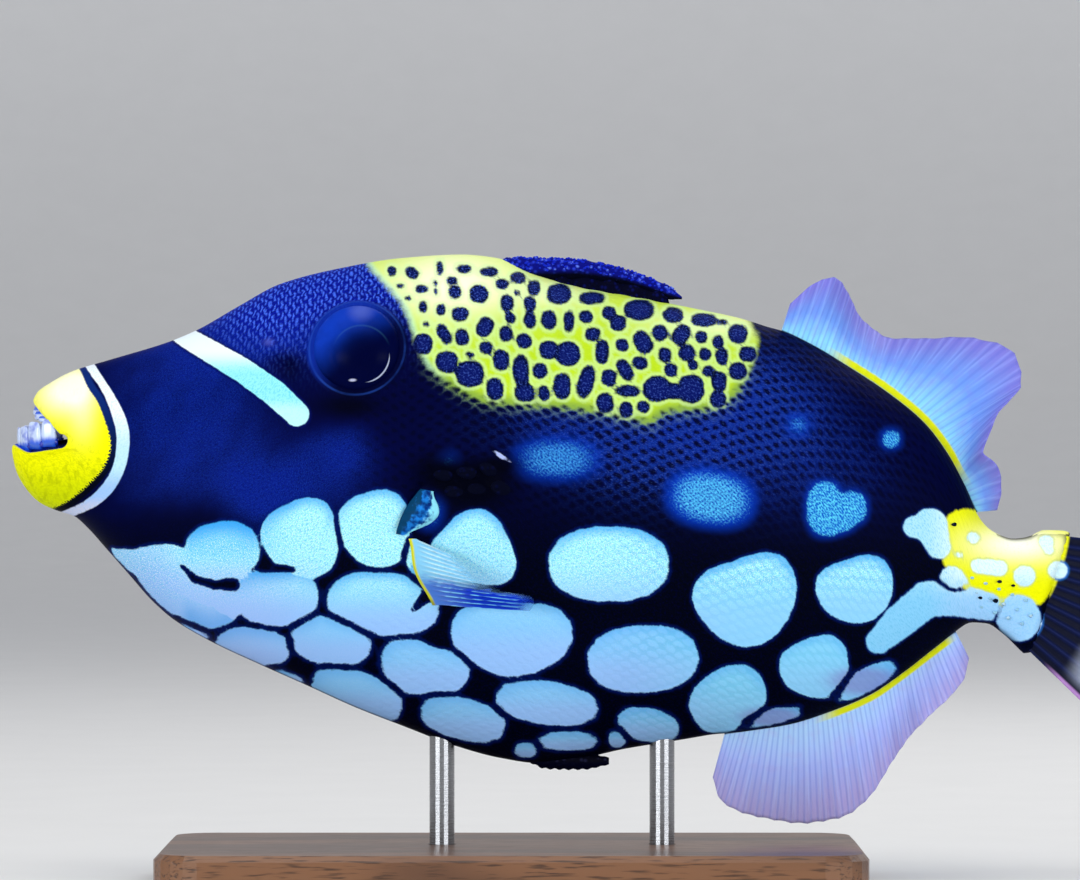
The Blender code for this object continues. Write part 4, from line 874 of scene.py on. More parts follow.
class Finish:
    """One material and the short calls that build its nodes."""

    def __init__(self, name, roughness, **settings):
        self.material = bpy.data.materials.new(name)
        self.material.use_nodes = True
        self.tree = self.material.node_tree
        self.shader = self.tree.nodes["Principled BSDF"]
        self.put("Roughness", roughness)
        for socket, value in settings.items():
            self.put(socket.replace("_", " "), value)

    def put(self, socket, value):
        """Joins a node's output to a socket, or sets the socket's own value."""
        if isinstance(socket, str):
            socket = self.shader.inputs[socket]
        if isinstance(value, Value):
            value = value.socket
        if isinstance(value, bpy.types.NodeSocket):
            self.tree.links.new(value, socket)
        else:
            socket.default_value = value

    def node(self, kind, **settings):
        made = self.tree.nodes.new("ShaderNode" + kind)
        for key, value in settings.items():
            setattr(made, key, value)
        return made

    def fill(self, made, values, output=0):
        """Sets a node's first inputs in order and hands back one output as a number."""
        for socket, value in zip(made.inputs, values):
            self.put(socket, value)
        return Value(self, made.outputs[output])

    def mark(self, name):
        return self.fill(self.node("Attribute", attribute_name=name), (), "Fac")

    def marks(self, *names):
        return [self.mark(name) for name in names]

    def place(self, flat):
        if flat:
            return self.node("UVMap", uv_map="plan").outputs["UV"]
        return self.node("TexCoord").outputs["Object"]

    def parts(self, vector):
        made = self.node("SeparateXYZ")
        self.put(made.inputs[0], vector)
        return [Value(self, output) for output in made.outputs]

    def calc(self, operation, *numbers):
        return self.fill(self.node("Math", operation=operation), numbers)

    def set(self, made, **values):
        for socket, value in values.items():
            self.put(made.inputs[socket], value)
        return made.outputs

    def mix(self, share, first, second):
        """Blends two colours, each a node's output or a screen colour from 0 to 255."""
        made = self.node("Mix", data_type="RGBA")
        self.put(made.inputs["Factor"], share)
        for place, colour in ((6, first), (7, second)):
            self.put(made.inputs[place], tone(*colour) if isinstance(colour, tuple) else colour)
        return made.outputs[2]

    def layers(self, under, *rows):
        """Lays colours over one another; a row says where, how strongly if not fully, and the colour."""
        for share, *strength, over in rows:
            under = self.mix(math.prod(strength, start=share), under, over)
        return under

    def noise(self, vector, scale, detail=2.0, rough=0.5):
        made = self.node("TexNoise")
        outputs = self.set(made, Vector=vector, Scale=scale, Detail=detail, Roughness=rough)
        return Value(self, outputs["Fac"])

    def cells(self, vector, scale):
        return Value(self, self.set(self.node("TexVoronoi"), Vector=vector, Scale=scale)["Distance"])

    def stretch(self, vector, scale):
        return self.set(self.node("Mapping"), Vector=vector, Scale=scale)[0]

    def relief(self, height, deep, strength):
        """Bump from a height of 0 to 1 that stands for so many millimetres."""
        bump = self.set(self.node("Bump"), Distance=deep * MM, Strength=strength, Height=height)
        self.put("Normal", bump[0])

    def colour(self, value):
        self.put("Base Color", value)
        return self.material


def scale_net(f, u, v, long, tall):
    """Staggered scales: how near the seam, how far from a scale's middle, and its two widths."""
    across = u * (1 / long)
    upward = v * (1 / tall)
    one = f.calc("FRACT", across + upward) - 0.5
    two = f.calc("FRACT", across - upward) - 0.5
    seam = f.calc("MAXIMUM", abs(one), abs(two)) * 2
    off = f.calc("SQRT", one * one + two * two)
    return seam, off * 2, abs(one + two), abs(one - two)


# %% [markdown]
# The skin's finish is laid on in layers, as the markings lie on the fish: the blue ground that fades to
# almost black, the net of scales, the gold saddle with its dark blots, the pale spots, the bar and the ring
# on the head, the yellow muzzle and the gold tail stalk. Each layer's edge comes from its stored distance,
# with a little noise so that no edge looks cut with a knife. Over the markings lie painted highlights on the
# top of the muzzle, the saddle and the tail stalk, and painted shadows in the hollow behind the gill and
# under the eye. The scales also give the bump.

# %% Scaled skin
SCALE_LONG = 3.5
SCALE_TALL = 2.3
DASH_LONG = 1.6
DASH_TALL = 3.0
SPECK_LONG = 1.15
SPECK_TALL = 0.8
INK = (0, 2, 14)
NAVY = (1, 3, 46)
ROYAL = (3, 20, 124)
NET_BLUE = (20, 56, 156)
CYAN_WHITE = (160, 240, 250)
PALE_LAVENDER = (138, 204, 255)
LEMON = (250, 248, 4)
WHITE_BLUE = (232, 246, 253)


def scaled_skin():
    """The whole skin, from the blue ground up to the markings of the head."""
    f = Finish("scaled_skin", 0.5, Specular_IOR_Level=0.015)
    flat = f.place(True)
    u, v, _ = f.parts(flat)
    tall, along, saddle, painted_highlight, net, dim_power = f.marks(
        "tall", "along", "saddle", "painted_highlight", "net", "dim_power")
    wobble = f.noise(flat, 0.5)
    grain = f.noise(flat, 2.3, 3, 0.6)
    fine = f.noise(flat, 5, 2, 0.5)
    broad = f.noise(flat, 0.16, 2)
    warp = (wobble - 0.5) * 1.6
    bent_u = u + warp
    bent_v = v + warp
    _, off, _, _ = scale_net(f, bent_u, bent_v, SCALE_LONG, SCALE_TALL)
    _, _, wide, thin = scale_net(f, bent_u, bent_v, DASH_LONG, DASH_TALL)
    small, _, _, _ = scale_net(f, bent_u, bent_v, SPECK_LONG, SPECK_TALL)
    ragged = (wobble - 0.5) * 0.9 + (grain - 0.5) * 0.6

    def edge(name, low, high, rough=1.0):
        """A marking's edge, roughened, between two distances into it."""
        return (f.mark(name) + ragged * rough).rise(low, high)

    glow = f.mark("glow") * (broad * 0.9 + 0.55)
    dash = wide.rise(0.42, 0.08) * thin.rise(0.9, 0.4)
    brow = f.mix(grain.rise(0.35, 0.65), (4, 14, 120), (8, 22, 158))
    bright = off.rise(0.55, 1.05) * grain.rise(0.32, 0.62, 0.25, 1)
    flecks = f.noise(f.stretch(flat, (1, 4.6, 1)), 1.5, 2).rise(0.56, 0.72)
    flank = along.rise(62, 78)
    faint = tall.rise(62, 80) * flank * off.rise(0.7, 0.3)
    ground = f.layers(
        INK,
        (tall.rise(62, 88), NAVY), (glow.rise(0, 0.8), ROYAL),
        (fine.rise(0.4, 0.75), glow.rise(0.1, 0.6, 0, 0.28), (40, 90, 200)),
        (grain.rise(0.55, 0.3), 0.5, (0, 3, 52)), (f.mark("dash"), 0.85, brow),
        (dash * f.mark("dash"), grain.rise(0.3, 0.6, 0.25, 0.9), (70, 112, 244)),
        (net * bright, 0.6, NET_BLUE), (net * off.rise(0.75, 0.3), 0.85, (1, 4, 46)),
        (net * flecks, 0.3, (96, 132, 232)), (faint, 0.45, INK),
    )

    ragged_blob = f.mark("blob") + ragged * 0.7
    lime = f.layers(
        f.mix(broad, (196, 226, 34), (172, 210, 36)),
        # paler towards the saddle's top: partly its own colour and partly painted light from above
        (tall.rise(112, 121), 0.4, (220, 242, 110)),
        (saddle.rise(2.6, 0.2), tall.rise(108, 100, 0, 0.75), (112, 150, 70)),
        # painted highlight on the saddle
        (painted_highlight, 0.95, (255, 255, 222)),
        (saddle.rise(1.6, 0.2), along.rise(88, 82, 0, 0.7), (176, 226, 200)),
        (ragged_blob.rise(-1, -0.4), 0.5, (204, 238, 168)),
    )
    dark_blob = f.layers(
        (1, 7, 44),
        (ragged_blob.rise(0.1, 0.9), (8, 20, 92)),
        # the dark blots are speckled lighter under the painted highlight
        (grain.rise(0.5, 0.68), painted_highlight.rise(0, 0.8, 0.45, 0.8), (72, 104, 204)),
    )
    leopard = f.mix(ragged_blob.rise(-0.34, 0.12), lime, dark_blob)
    below = tall.rise(106, 98)
    fringe = saddle + (off - 0.6) * 1.1 * below
    colour = f.layers(
        ground,
        (fringe.rise(-2.6, -0.2) * below, 0.4, f.mix(bright, ground, (110, 140, 100))),
        ((fringe + ragged * 1.2).rise(-0.8, 0.9), leopard),
    )

    speck = small * 0.25 + grain * 1.05
    reach = f.mark("dim") + (speck - 0.75) * 2.6
    core = f.mark("dim").rise(-1.8, 1.6) * dim_power
    bright_dim = f.mix(dim_power, (30, 128, 246), (100, 222, 252))
    lit = reach.rise(0.2, 3) * speck.rise(0.42, 0.95)
    crisp = dim_power.rise(0.88, 0.98) * edge("dim", -0.3, 0.3, 1.2)
    colour = f.layers(
        colour,
        (core, 0.75, (4, 64, 212)), (lit, dim_power.rise(0.2, 0.9, 0.45, 0.95), bright_dim),
        (crisp, 0.85, f.mix(speck.rise(0.55, 0.9), (10, 96, 200), (96, 220, 248))),
    )

    low = tall.rise(66, 50)
    front = along.rise(66, 44)
    first = along.rise(33, 36) * along.rise(58, 46)
    upper = 1 - low
    crown = f.mark("spot_lift").rise(-0.1, 0.9) * f.mark("spot").rise(front.rise(0, 1, 2.6, 5), 0)
    crown = crown * (1 - low * 0.5) * along.rise(33, 36)
    body = f.layers(
        CYAN_WHITE,
        (low, PALE_LAVENDER), (front * tall.rise(67, 60), 0.7, (158, 190, 250)),
        (along.rise(38, 27), 0.65, (138, 180, 246)), (first * tall.rise(62, 68), 0.75, (96, 200, 248)),
        (along.rise(108, 136) * off.rise(0.6, 1.05), 0.5, (84, 176, 226)),
        (grain.rise(0.46, 0.64), upper.rise(0, 1, 0.12, 0.7), (72, 190, 236)),
        (fine.rise(0.52, 0.64), upper.rise(0, 1, 0.12, 0.75), (240, 255, 255)),
        (low * f.mark("spot_lift").rise(0.5, -0.5), 0.55, (164, 194, 255)),
        (low * along.rise(120, 148), 0.5, (136, 226, 255)),
        (crown, front.rise(0, 1, 0.7, 0.9), (48, 160, 240)),
        (fine.rise(0.56, 0.66) * crown, 0.6, (20, 110, 190)),
        (f.mark("dusk").rise(0.15, 0.8), 0.75, (132, 140, 206)),
    )
    colour = f.layers(
        colour,
        (edge("spot", -0.75, 0), 0.6, (2, 26, 104)), (edge("spot", -0.06, 0.28, 0.7), body),
    )

    gold = f.layers(
        (236, 240, 4),
        # painted highlight on the top of the tail stalk
        (painted_highlight, (255, 255, 236)), (grain.rise(0.5, 0.8), 0.3, (196, 206, 30)),
    )
    stalk_spot = f.layers(
        f.mix(tall.rise(64, 56), (226, 252, 252), (160, 210, 252)),
        (along.rise(190, 182), 0.6, (120, 208, 246)),
        (grain.rise(0.46, 0.66), along.rise(188, 194, 0.6, 0.3), (96, 190, 232)),
    )
    colour = f.layers(
        colour,
        (edge("gold", -0.3, 0.4), gold),
        (edge("pale", -0.55, 0.1), 0.6, f.mix(f.mark("gold").rise(0, 0.6), (4, 40, 130), (190, 206, 120))),
        (edge("pale", -0.15, 0.3, 0.6), stalk_spot),
    )

    stipple = grain.rise(0.46, 0.62) * tall.rise(106, 100)
    # the bar is white at its top and cyan lower down: partly its own colour and partly a painted highlight
    # where light from above falls on its top
    bar = f.layers(
        WHITE_BLUE,
        (tall.rise(107, 102), (148, 232, 246)), (stipple, 0.7, (92, 206, 236)),
        (tall.rise(97.5, 94.5), 0.55, (212, 250, 250)),
    )
    colour = f.layers(
        colour,
        (edge("bar", -0.8, -0.1, 0.5), 0.9, (3, 12, 84)), (edge("bar", -0.14, 0.14, 0.4), bar),
    )

    serrated = (small - 0.6) * tall.rise(94, 86, 0.1, 0.75)
    behind_lips = f.mix(tall.rise(80, 100), (1, 4, 20), (12, 40, 110))
    ring = f.layers(
        f.mix(tall.rise(86, 96), (190, 230, 252), (236, 244, 252)),
        (tall.rise(84, 79), (160, 196, 246)), (tall.rise(78, 75), (200, 206, 232)),
        (grain.rise(0.45, 0.7), 0.35, (110, 190, 240)),
    )
    colour = f.layers(
        colour,
        (f.mark("muzzle").rise(-1.6, -1.1), behind_lips), (edge("ring", -0.12, 0.16, 0.3), ring),
    )

    pebbles = f.cells(flat, 2.1)
    creases = f.noise(f.stretch(flat, (1, 0.45, 1)), 0.8, 2).rise(0.5, 0.68)
    lemon = f.layers(
        LEMON,
        (tall.rise(88, 76), (208, 222, 4)),
        (pebbles.rise(0.4, 0.8), tall.rise(94, 84, 0.04, 0.3), (176, 190, 6)),
        # the last layer is a painted highlight on the top of the muzzle
        (creases, tall.rise(90, 82, 0, 0.4), (160, 172, 4)), (painted_highlight, (255, 255, 226)),
    )
    jagged = f.mark("muzzle") + serrated
    lit_side = f.mark("upper_left").rise(0.35, 0.85)
    orbit = f.mix(lit_side, (1, 4, 44), (12, 42, 150))
    rim = abs(f.mark("orbit") - 9.5).rise(0.34, 0.05)
    gums = f.mix(tall.rise(90.5, 92), (24, 60, 200), (170, 176, 236))
    colour = f.layers(
        colour,
        (jagged.rise(-0.1, 0.25), lemon), (f.mark("orbit").rise(10.5, 9.5), 0.95, orbit),
        (rim * broad.rise(0.35, 0.6, 0.25, 0.9), 0.4, (40, 84, 190)), (f.mark("horn"), 0.7, (84, 96, 196)),
        (f.mark("inner").rise(0.22, 0.34), gums), (f.mark("inner").rise(0.7, 0.86), (1, 2, 16)),
        (f.mark("keel").rise(0.35, 0.95), 0.85, (4, 8, 34)),
        # painted shadow in the gill hollow and under the eye, kept off the pale spots
        (f.mark("painted_shadow").rise(0.15, 0.9), f.mark("spot").rise(0.1, -0.2), (0, 1, 14)),
        (edge("glint", -0.1, 0.15, 0.5), 0.9, (176, 190, 240)),
    )

    muzzle = f.mark("muzzle").rise(-1, 0)
    scales = off.rise(1.1, 0.4) * flank
    on_muzzle = muzzle * pebbles.rise(0.8, 0.2) * 0.4 - muzzle * creases * 0.8
    f.relief(scales * 0.4 + grain * 0.3 + on_muzzle, 0.15, 0.7)
    return f.colour(colour)


skin.data.materials.append(scaled_skin())
print("finish:", skin.data.materials[0].name, "nodes:", len(skin.data.materials[0].node_tree.nodes))
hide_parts("upper_jaw", "lower_jaw", "head", "torso", "tail_stalk")
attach(skin, "root")


# %% [markdown]
# The eye. A triggerfish's eye sits high on the head in a round orbit. Clear skin runs over it from the rim,
# blue like the head and painted lighter at its upper left as if lit from there, down to a dark pupil that
# stands up as a low dome. A thin pale crescent at the pupil's lower right is partly the iris and partly a
# painted reflection, and two small painted highlights lie at the top and the bottom of the eye. I turn one
# profile round the eye's axis, so the eye meets the skin's dip in a true circle on both sides.

# %% Eyes turned from a profile
PUPIL = 5.2
PUPIL_SHIFT = (1.2, -1.9)
PUPIL_BULGE = 0.16
PUPIL_DITCH = 0.03
EYE_LIFT = -0.05
EYE_EDGE_FALL = 1.6
EYE_TURNS = 72
EYE_CIRCLES = 30
EYE_SKIRT = 2.4
EYE_BACK = 3.4


def eye_height(across, up):
    """Height of the eye over the skin at a place in its own plane."""
    d = math.hypot(across, up)
    dome = float(orbit_dome(d)) + EYE_LIFT
    from_pupil = math.hypot(across - PUPIL_SHIFT[0], up - PUPIL_SHIFT[1])
    bulge = PUPIL_BULGE * math.sqrt(max(1 - (from_pupil / (PUPIL + 0.4)) ** 2, 0))
    ditch = PUPIL_DITCH * math.exp(-((from_pupil - PUPIL - 0.5) / 0.55) ** 2)
    edge = EYE_EDGE_FALL * max(0.0, (d - EYE_EDGE + 0.9) / 0.9) ** 2
    return dome + bulge - ditch - edge


def make_eye(side):
    """One eye: circles of its height over the skin, a skirt that sinks into the skin and a closed back."""
    place, axis = eye_frame(side)
    ahead = Vector((1, 0, 0)) - axis * axis.x
    ahead.normalize()
    upward = axis.cross(ahead)
    if upward.z < 0:
        upward = -upward
    points = []
    plan = []
    circles = [EYE_EDGE * (k / EYE_CIRCLES) ** 0.9 for k in range(1, EYE_CIRCLES + 1)]
    for d in circles:
        for turn in turns_of(EYE_TURNS):
            across = d * math.cos(turn)
            up = d * math.sin(turn)
            points.append(place + ahead * across + upward * up + axis * eye_height(across, up))
            plan.append((across, up))
    points += [p - axis * EYE_SKIRT for p in points[-EYE_TURNS:]]
    plan += plan[-EYE_TURNS:]
    rows = len(circles) + 1
    faces = grid_faces(rows, EYE_TURNS, True) + end_faces(rows, EYE_TURNS, len(points))
    points += [place + axis * eye_height(0, 0), place - axis * EYE_BACK]
    plan += [(0, 0), (0, 0)]
    faces = [f if side < 0 else f[::-1] for f in faces]
    return make_piece("eye_left_clear" if side < 0 else "eye_right_clear", points, faces, plan=plan)


def eye_finish():
    """Clear blue skin, painted lighter at the upper left, a dark pupil, a pale crescent of iris and painted
    reflection, and two painted highlights.
    """
    f = Finish("clear_eye", 0.25, Specular_IOR_Level=0.01)
    flat = f.place(True)
    u, v, _ = f.parts(flat)

    def away(cu, cv):
        du = u - cu
        dv = v - cv
        return f.calc("SQRT", du * du + dv * dv)

    pupil = away(*PUPIL_SHIFT)
    upper_left = (v + u * -0.7).rise(-3.5, 8)
    light = pupil.rise(-1.5, 8) * upper_left
    light = light * (0.7 + f.noise(flat, 0.35, 2) * 0.6)
    # a painted highlight along the top of the eye
    painted_top_highlight = away(1, 7.4)
    upper_arc = 0.22 - abs(pupil - (PUPIL + 0.5))
    faint = upper_arc.rise(-0.1, 0.2) * v.rise(-0.5, 3)
    # the pale crescent round the pupil's lower right: partly the iris and partly a painted reflection
    toward = (u - PUPIL_SHIFT[0]) * 0.77 + (v - PUPIL_SHIFT[1]) * -0.64
    thick = toward.rise(2.8, 5.4, -0.12, 0.14)
    crescent = (thick - abs(pupil - (PUPIL + 0.25))).rise(-0.04, 0.08)
    long_way = (u + 0.6) * 0.34
    short_way = v + 6.9
    glint = f.calc("SQRT", long_way * long_way + short_way * short_way)
    colour = f.layers(
        f.mix(light, (1, 5, 50), (16, 56, 176)),
        (painted_top_highlight.rise(3.6, 0.4, 0, 0.45), (96, 112, 190)),
        (pupil.rise(PUPIL + 1, PUPIL - 3.4), 0.4, (1, 3, 34)), (faint, 0.12, (70, 130, 170)),
        (crescent, (176, 186, 214)), (glint.rise(0.34, 0.12), 0.85, (200, 204, 236)),
    )
    return f.colour(colour)


clear_eye = eye_finish()
for way, node in ((-1, "eye_left"), (1, "eye_right")):
    eye = make_eye(way)
    eye.data.materials.append(clear_eye)
    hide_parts(node)
    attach(eye, "root")
print("eye faces:", len(eye.data.polygons))

# %% [markdown]
# The teeth show between the lips: eight strong chisels in each jaw that stand close, with their sharp edges
# meeting unevenly. Each is a small closed loft, broad across and thin front to back; a low gum joins them.
# They follow the horseshoe of the jaw, so they are made one by one along that curve.

# %% Teeth along both jaws
TEETH_A_JAW = 8
TOOTH_HALF_WIDTH = 1.55
TOOTH_THICK = 1.6
TOOTH_LEAN = 0.7
GUM_RADIUS = 0.85
GUM_RINGS = 25
GUM_TURNS = 10
TOOTH_TURNS = 14
TOOTH_UNEVEN = (0, 0.18, -0.1, 0.06)
UPPER_CORNER_GAP = 3.2
LOWER_CORNER_GAP = 1.4
LOWER_TEETH = (2.1, 2.5)
UPPER_TEETH = (6.2, 4.6)
TOOTH_RINGS = (
    (0, 0.9, 1), (0.3, 1, 1), (0.6, 1, 0.86), (0.82, 0.93, 0.62), (0.95, 0.78, 0.4), (1, 0.54, 0.2),
)


def closed_loft(rings):
    """Points and faces of rings joined in a row and closed at both ends."""
    rows, columns = len(rings), len(rings[0])
    points = [p for ring in rings for p in ring]
    faces = grid_faces(rows, columns, True) + end_faces(rows, columns, len(points))
    return points + [np.mean(rings[0], axis=0), np.mean(rings[-1], axis=0)], faces


def rounded_box(turn, power=0.6):
    """A point on a square with round corners, at a turn."""
    c, s = math.cos(turn), math.sin(turn)
    return math.copysign(abs(c) ** power, c), math.copysign(abs(s) ** power, s)


def row_of_teeth(name, edge, way, front, inset, tall):
    """The teeth of one jaw on their gum, along the horseshoe of the jaw; way is up or down."""
    reach = float(half_width(MOUTH_CORNER[0])) - inset
    length = MOUTH_CORNER[0] - (UPPER_CORNER_GAP if way < 0 else LOWER_CORNER_GAP) - front
    points, faces, fair = [], [], []

    def take(rings, share):
        new_points, new_faces = closed_loft(rings)
        shift = len(points)
        points.extend(new_points)
        faces.extend(tuple(shift + k for k in face) for face in new_faces)
        fair.extend(list(np.repeat(share, len(rings[0]))) + [share[0], share[-1]])

    gum = []
    for turn in np.linspace(0, math.pi, GUM_RINGS):
        middle = np.array((front + length * (1 - math.sin(turn)), -reach * math.cos(turn), 0.0))
        middle[2] = edge(middle[0]) + way * 0.5
        out = np.array((-math.sin(turn), -math.cos(turn), 0.0))
        gum.append([
            middle + out * GUM_RADIUS * math.cos(a) + (0, 0, GUM_RADIUS * math.sin(a))
            for a in turns_of(GUM_TURNS)])
    take(gum, np.full(len(gum), -0.3))
    for i in range(TEETH_A_JAW):
        turn = math.pi * (i + 0.5) / TEETH_A_JAW
        turn = math.pi / 2 + (turn - math.pi / 2) * 0.98
        x = front + length * (1 - math.sin(turn))
        root = np.array((x, -reach * math.cos(turn), edge(x) - way * 0.3))
        out = np.array((-math.sin(turn), -math.cos(turn), 0.0))
        across = np.array((out[1], -out[0], 0.0))
        high = tall(x, root[2]) + TOOTH_UNEVEN[i % 4]
        rings = []
        for share, broad, deep in TOOTH_RINGS:
            centre = root + (0, 0, way * high * share) + out * TOOTH_LEAN * share
            slope = 0.2 * share * (1 if i % 2 else -1)
            ring = []
            for a in turns_of(TOOTH_TURNS):
                c, s = rounded_box(a)
                place = centre + across * (TOOTH_HALF_WIDTH * broad * c) + out * (TOOTH_THICK / 2 * deep * s)
                ring.append(place + (0, 0, way * slope * broad * c * 0.5))
            rings.append(ring)
        take(rings, [share for share, _, _ in TOOTH_RINGS])
    return make_piece(name, points, faces, {"fair": fair})


def enamel():
    """Pale enamel with fine streaks, random blue blotches painted as shade, and bluer towards the gum."""
    f = Finish("enamel", 0.22, Specular_IOR_Level=0.55, Coat_Weight=0.35, Coat_Roughness=0.08)
    place = f.place(False)
    streak = f.noise(f.stretch(place, (900, 900, 160)), 1, 3)
    # random blue blotches painted as shade on the teeth
    shadow = f.noise(place, 420, 2).rise(0.46, 0.62)
    lining = f.mark("fair") + (streak - 0.5) * 0.25
    colour = f.layers(
        f.mix(f.mark("fair").rise(0, 0.4), (110, 140, 232), (204, 220, 250)),
        (streak, 0.3, (150, 176, 234)), (shadow, 0.65, (70, 88, 206)),
        (lining.rise(0.44, 0.2), (36, 92, 224)), (lining.rise(0.1, -0.1), (10, 40, 170)),
    )
    f.relief(streak, 0.05, 0.5)
    return f.colour(colour)


def upper_tall(x, _):
    """Height of an upper tooth, which shrinks towards the corner of the mouth."""
    return 3.3 - 0.28 * x


def lower_tall(x, root):
    """Height of a lower tooth, which ends just under the upper lip."""
    return min(90.9 + 0.3 * (x - 1.0), upper_edge(x) + 0.4) - root


enamel_finish = enamel()
for name, edge_line, way, row, tall in (
    ("upper_tooth_row", upper_edge, -1, (UPPER_TEETH[0] - 0.7, UPPER_TEETH[1] - 0.6), upper_tall),
    ("lower_tooth_row", lower_edge, 1, LOWER_TEETH, lower_tall),
):
    teeth = row_of_teeth(name, edge_line, way, *row, tall)
    teeth.data.materials.append(enamel_finish)
    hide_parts("teeth_upper" if way < 0 else "teeth_lower")
    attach(teeth, "root")
    print(name, "faces:", len(teeth.data.polygons))

# %% [markdown]
# The fins are thin sheets held out by rays. A table gives, at a few places along each fin, how long the ray
# is, which way it points and how far it swings to the side, so the wavy folds come from the rays as they do
# in life. The sheet is a fine grid with a real thickness; each ray is a rounded ridge on both faces that
# splits in two on its way out, and the skin between two rays dips a little.

# %% A fin from its rays
PLEAT = 0.35
SWING_POWER = 1.6
SCALLOP = 0.03
FIN_ROOT = 12.0
SOFT_DORSAL_RAYS = 27
ANAL_RAYS = 23
CAUDAL_RAYS = 12
PECTORAL_RAYS = 14
SOFT_DORSAL_RAY = (
    (0, 6, 72, 0.5), (0.06, 12.2, 70, 1.5), (0.13, 14.9, 70, 3.5), (0.2, 13.4, 71, 7.5),
    (0.28, 10.9, 72, 12), (0.37, 10.3, 68, 15), (0.46, 14.4, 55, 13.5), (0.54, 20.4, 45, 8.5),
    (0.61, 23.6, 37, 3.5), (0.68, 20.6, 31, -1.5), (0.75, 16.6, 39, -5.5), (0.82, 11.6, 50, -7),
    (0.86, 6.8, 48, -6), (0.9, 7.9, 30, -3.5), (0.95, 6.9, 20, 0), (1, 4.6, 6, 2),
)
ANAL_RAY = (
    (0, 9.4, -105, 0.5), (0.06, 14.6, -106, 1), (0.14, 17.8, -101, 2.5), (0.22, 19.6, -95, 4.5),
    (0.32, 21.6, -88, 6), (0.42, 22.2, -83, 5.5), (0.52, 19.9, -80, 3.5), (0.62, 15.4, -79, 0.5),
    (0.72, 12.6, -80, -3.5), (0.8, 11.2, -78, -6.5), (0.88, 10.3, -72, -6), (0.95, 9.4, -68, -2.5),
    (1, 6.4, -64, 0.5),
)
CAUDAL_RAY = (
    (0, 38, -44, 5), (0.1, 43, -40, 5.5), (0.3, 46.6, -31, 6.5), (0.5, 47.4, -23, 7), (0.7, 46.4, -16, 6.5),
    (0.9, 43.2, -10, 5.5), (1, 38.6, -7, 5),
)
CAUDAL_ROOT_HALF = 2.6
CAUDAL_ROOT_FADE = 9.0
PECTORAL_RAY = (
    (0, 18.6, -3, 11), (0.25, 21.2, -6, 14), (0.5, 22, -11, 14), (0.75, 19.6, -17, 11), (1, 14.6, -22, 7),
)
PARTS_A_RAY = 10
THIN_HALF = 0.16


def ray_table(rows):
    """Smooth lines of a fin's ray length, angle and swing, from rows of place, length, degrees and swing."""
    share, length, angle, swing = np.array(rows, float).T
    columns = (length, np.radians(angle), swing)
    return [smooth_line(list(zip(share, column))) for column in columns]


def fin_grid(columns, rows, start=0.0):
    """How far across and how far out each point of a fin's grid lies; a start below zero is in the body."""
    return np.broadcast_arrays(np.linspace(0, 1, columns)[:, None], np.linspace(start, 1, rows)[None, :])


def part_way(first, last, share):
    """The x and z at a share of the way from one point to another."""
    return [a + (b - a) * share for a, b in zip(first, last)]


def ray_ridge(across, along, rays, split=0.45):
    """From 0 between rays to 1 on a ray's crest; past the split each ray is two."""
    phase = across * (rays - 1)
    single = np.abs(np.cos(phase * math.pi)) ** 5
    half_gap = 0.20 * np.clip((along - split) / (1 - split), 0, 1)
    nearest = phase - np.round(phase)
    twin = np.exp(-((np.abs(nearest) - half_gap) / 0.085) ** 2)
    return np.where(along < split, single, np.maximum(twin, 0.0))


def fin_piece(name, middle, half, across, along, ridge, extra=None):
    """A closed sheet round a middle surface, with its ridges and marks."""
    da = np.gradient(middle, axis=0)
    df = np.gradient(middle, axis=1)
    normal = np.cross(da, df)
    normal /= np.maximum(np.linalg.norm(normal, axis=2, keepdims=True), 1e-9)
    one = middle + normal * half[..., None]
    two = middle - normal * half[..., None]
    columns, rows = half.shape
    points = np.concatenate([one.reshape(-1, 3), two.reshape(-1, 3)])
    shift = columns * rows
    faces = grid_faces(columns, rows, False)
    faces += [tuple(shift + k for k in reversed(face)) for face in faces]
    rim = [c * rows for c in range(columns)]
    rim += [(columns - 1) * rows + r for r in range(1, rows)]
    rim += [c * rows + rows - 1 for c in range(columns - 2, -1, -1)]
    rim += range(rows - 2, 0, -1)
    for a, b in zip(rim, rim[1:] + rim[:1]):
        faces.append((a, shift + a, shift + b, b))
    marks = {"across": across, "out": along, "ridge": ridge, **(extra or {})}
    return make_piece(name, points, faces, {key: np.tile(v.ravel(), 2) for key, v in marks.items()})


def edge_fin(name, line, span, table, rays):
    """A fin on the back or the belly: its foot follows the body's outline over a span."""
    length, angle, swing = ray_table(table)
    across, along = fin_grid(PARTS_A_RAY * (rays - 1) + 1, 34, -0.2)
    xs = np.linspace(*span, 400)
    zs = line(xs)
    run = np.concatenate([[0], np.cumsum(np.hypot(np.diff(xs), np.diff(zs)))])
    root_x = np.interp(across * run[-1], run, xs)
    root_z = np.interp(across * run[-1], run, zs)
    between = np.abs(np.sin(across * (rays - 1) * math.pi))
    far = length(across) * (1 - 0.4 * SCALLOP * between)
    out = np.maximum(along, 0)
    reach = np.where(along < 0, along * FIN_ROOT, far * along)
    pleats = 0.5 * PLEAT * out * np.cos(across * (rays - 1) * math.pi)
    curve = swing(across) * out ** SWING_POWER + pleats
    way = angle(across)
    middle = np.stack([root_x + reach * np.cos(way), curve, root_z + reach * np.sin(way)], axis=-1)
    ridge = ray_ridge(across, along, rays)
    half = THIN_HALF + 0.09 * ridge * (1 - 0.55 * out)
    half = half * (1 - 0.5 * smooth_step(0.93, 1.0, along))
    return fin_piece(name, middle, half, across, along, ridge, {"reach": reach, "high": middle[..., 2]})


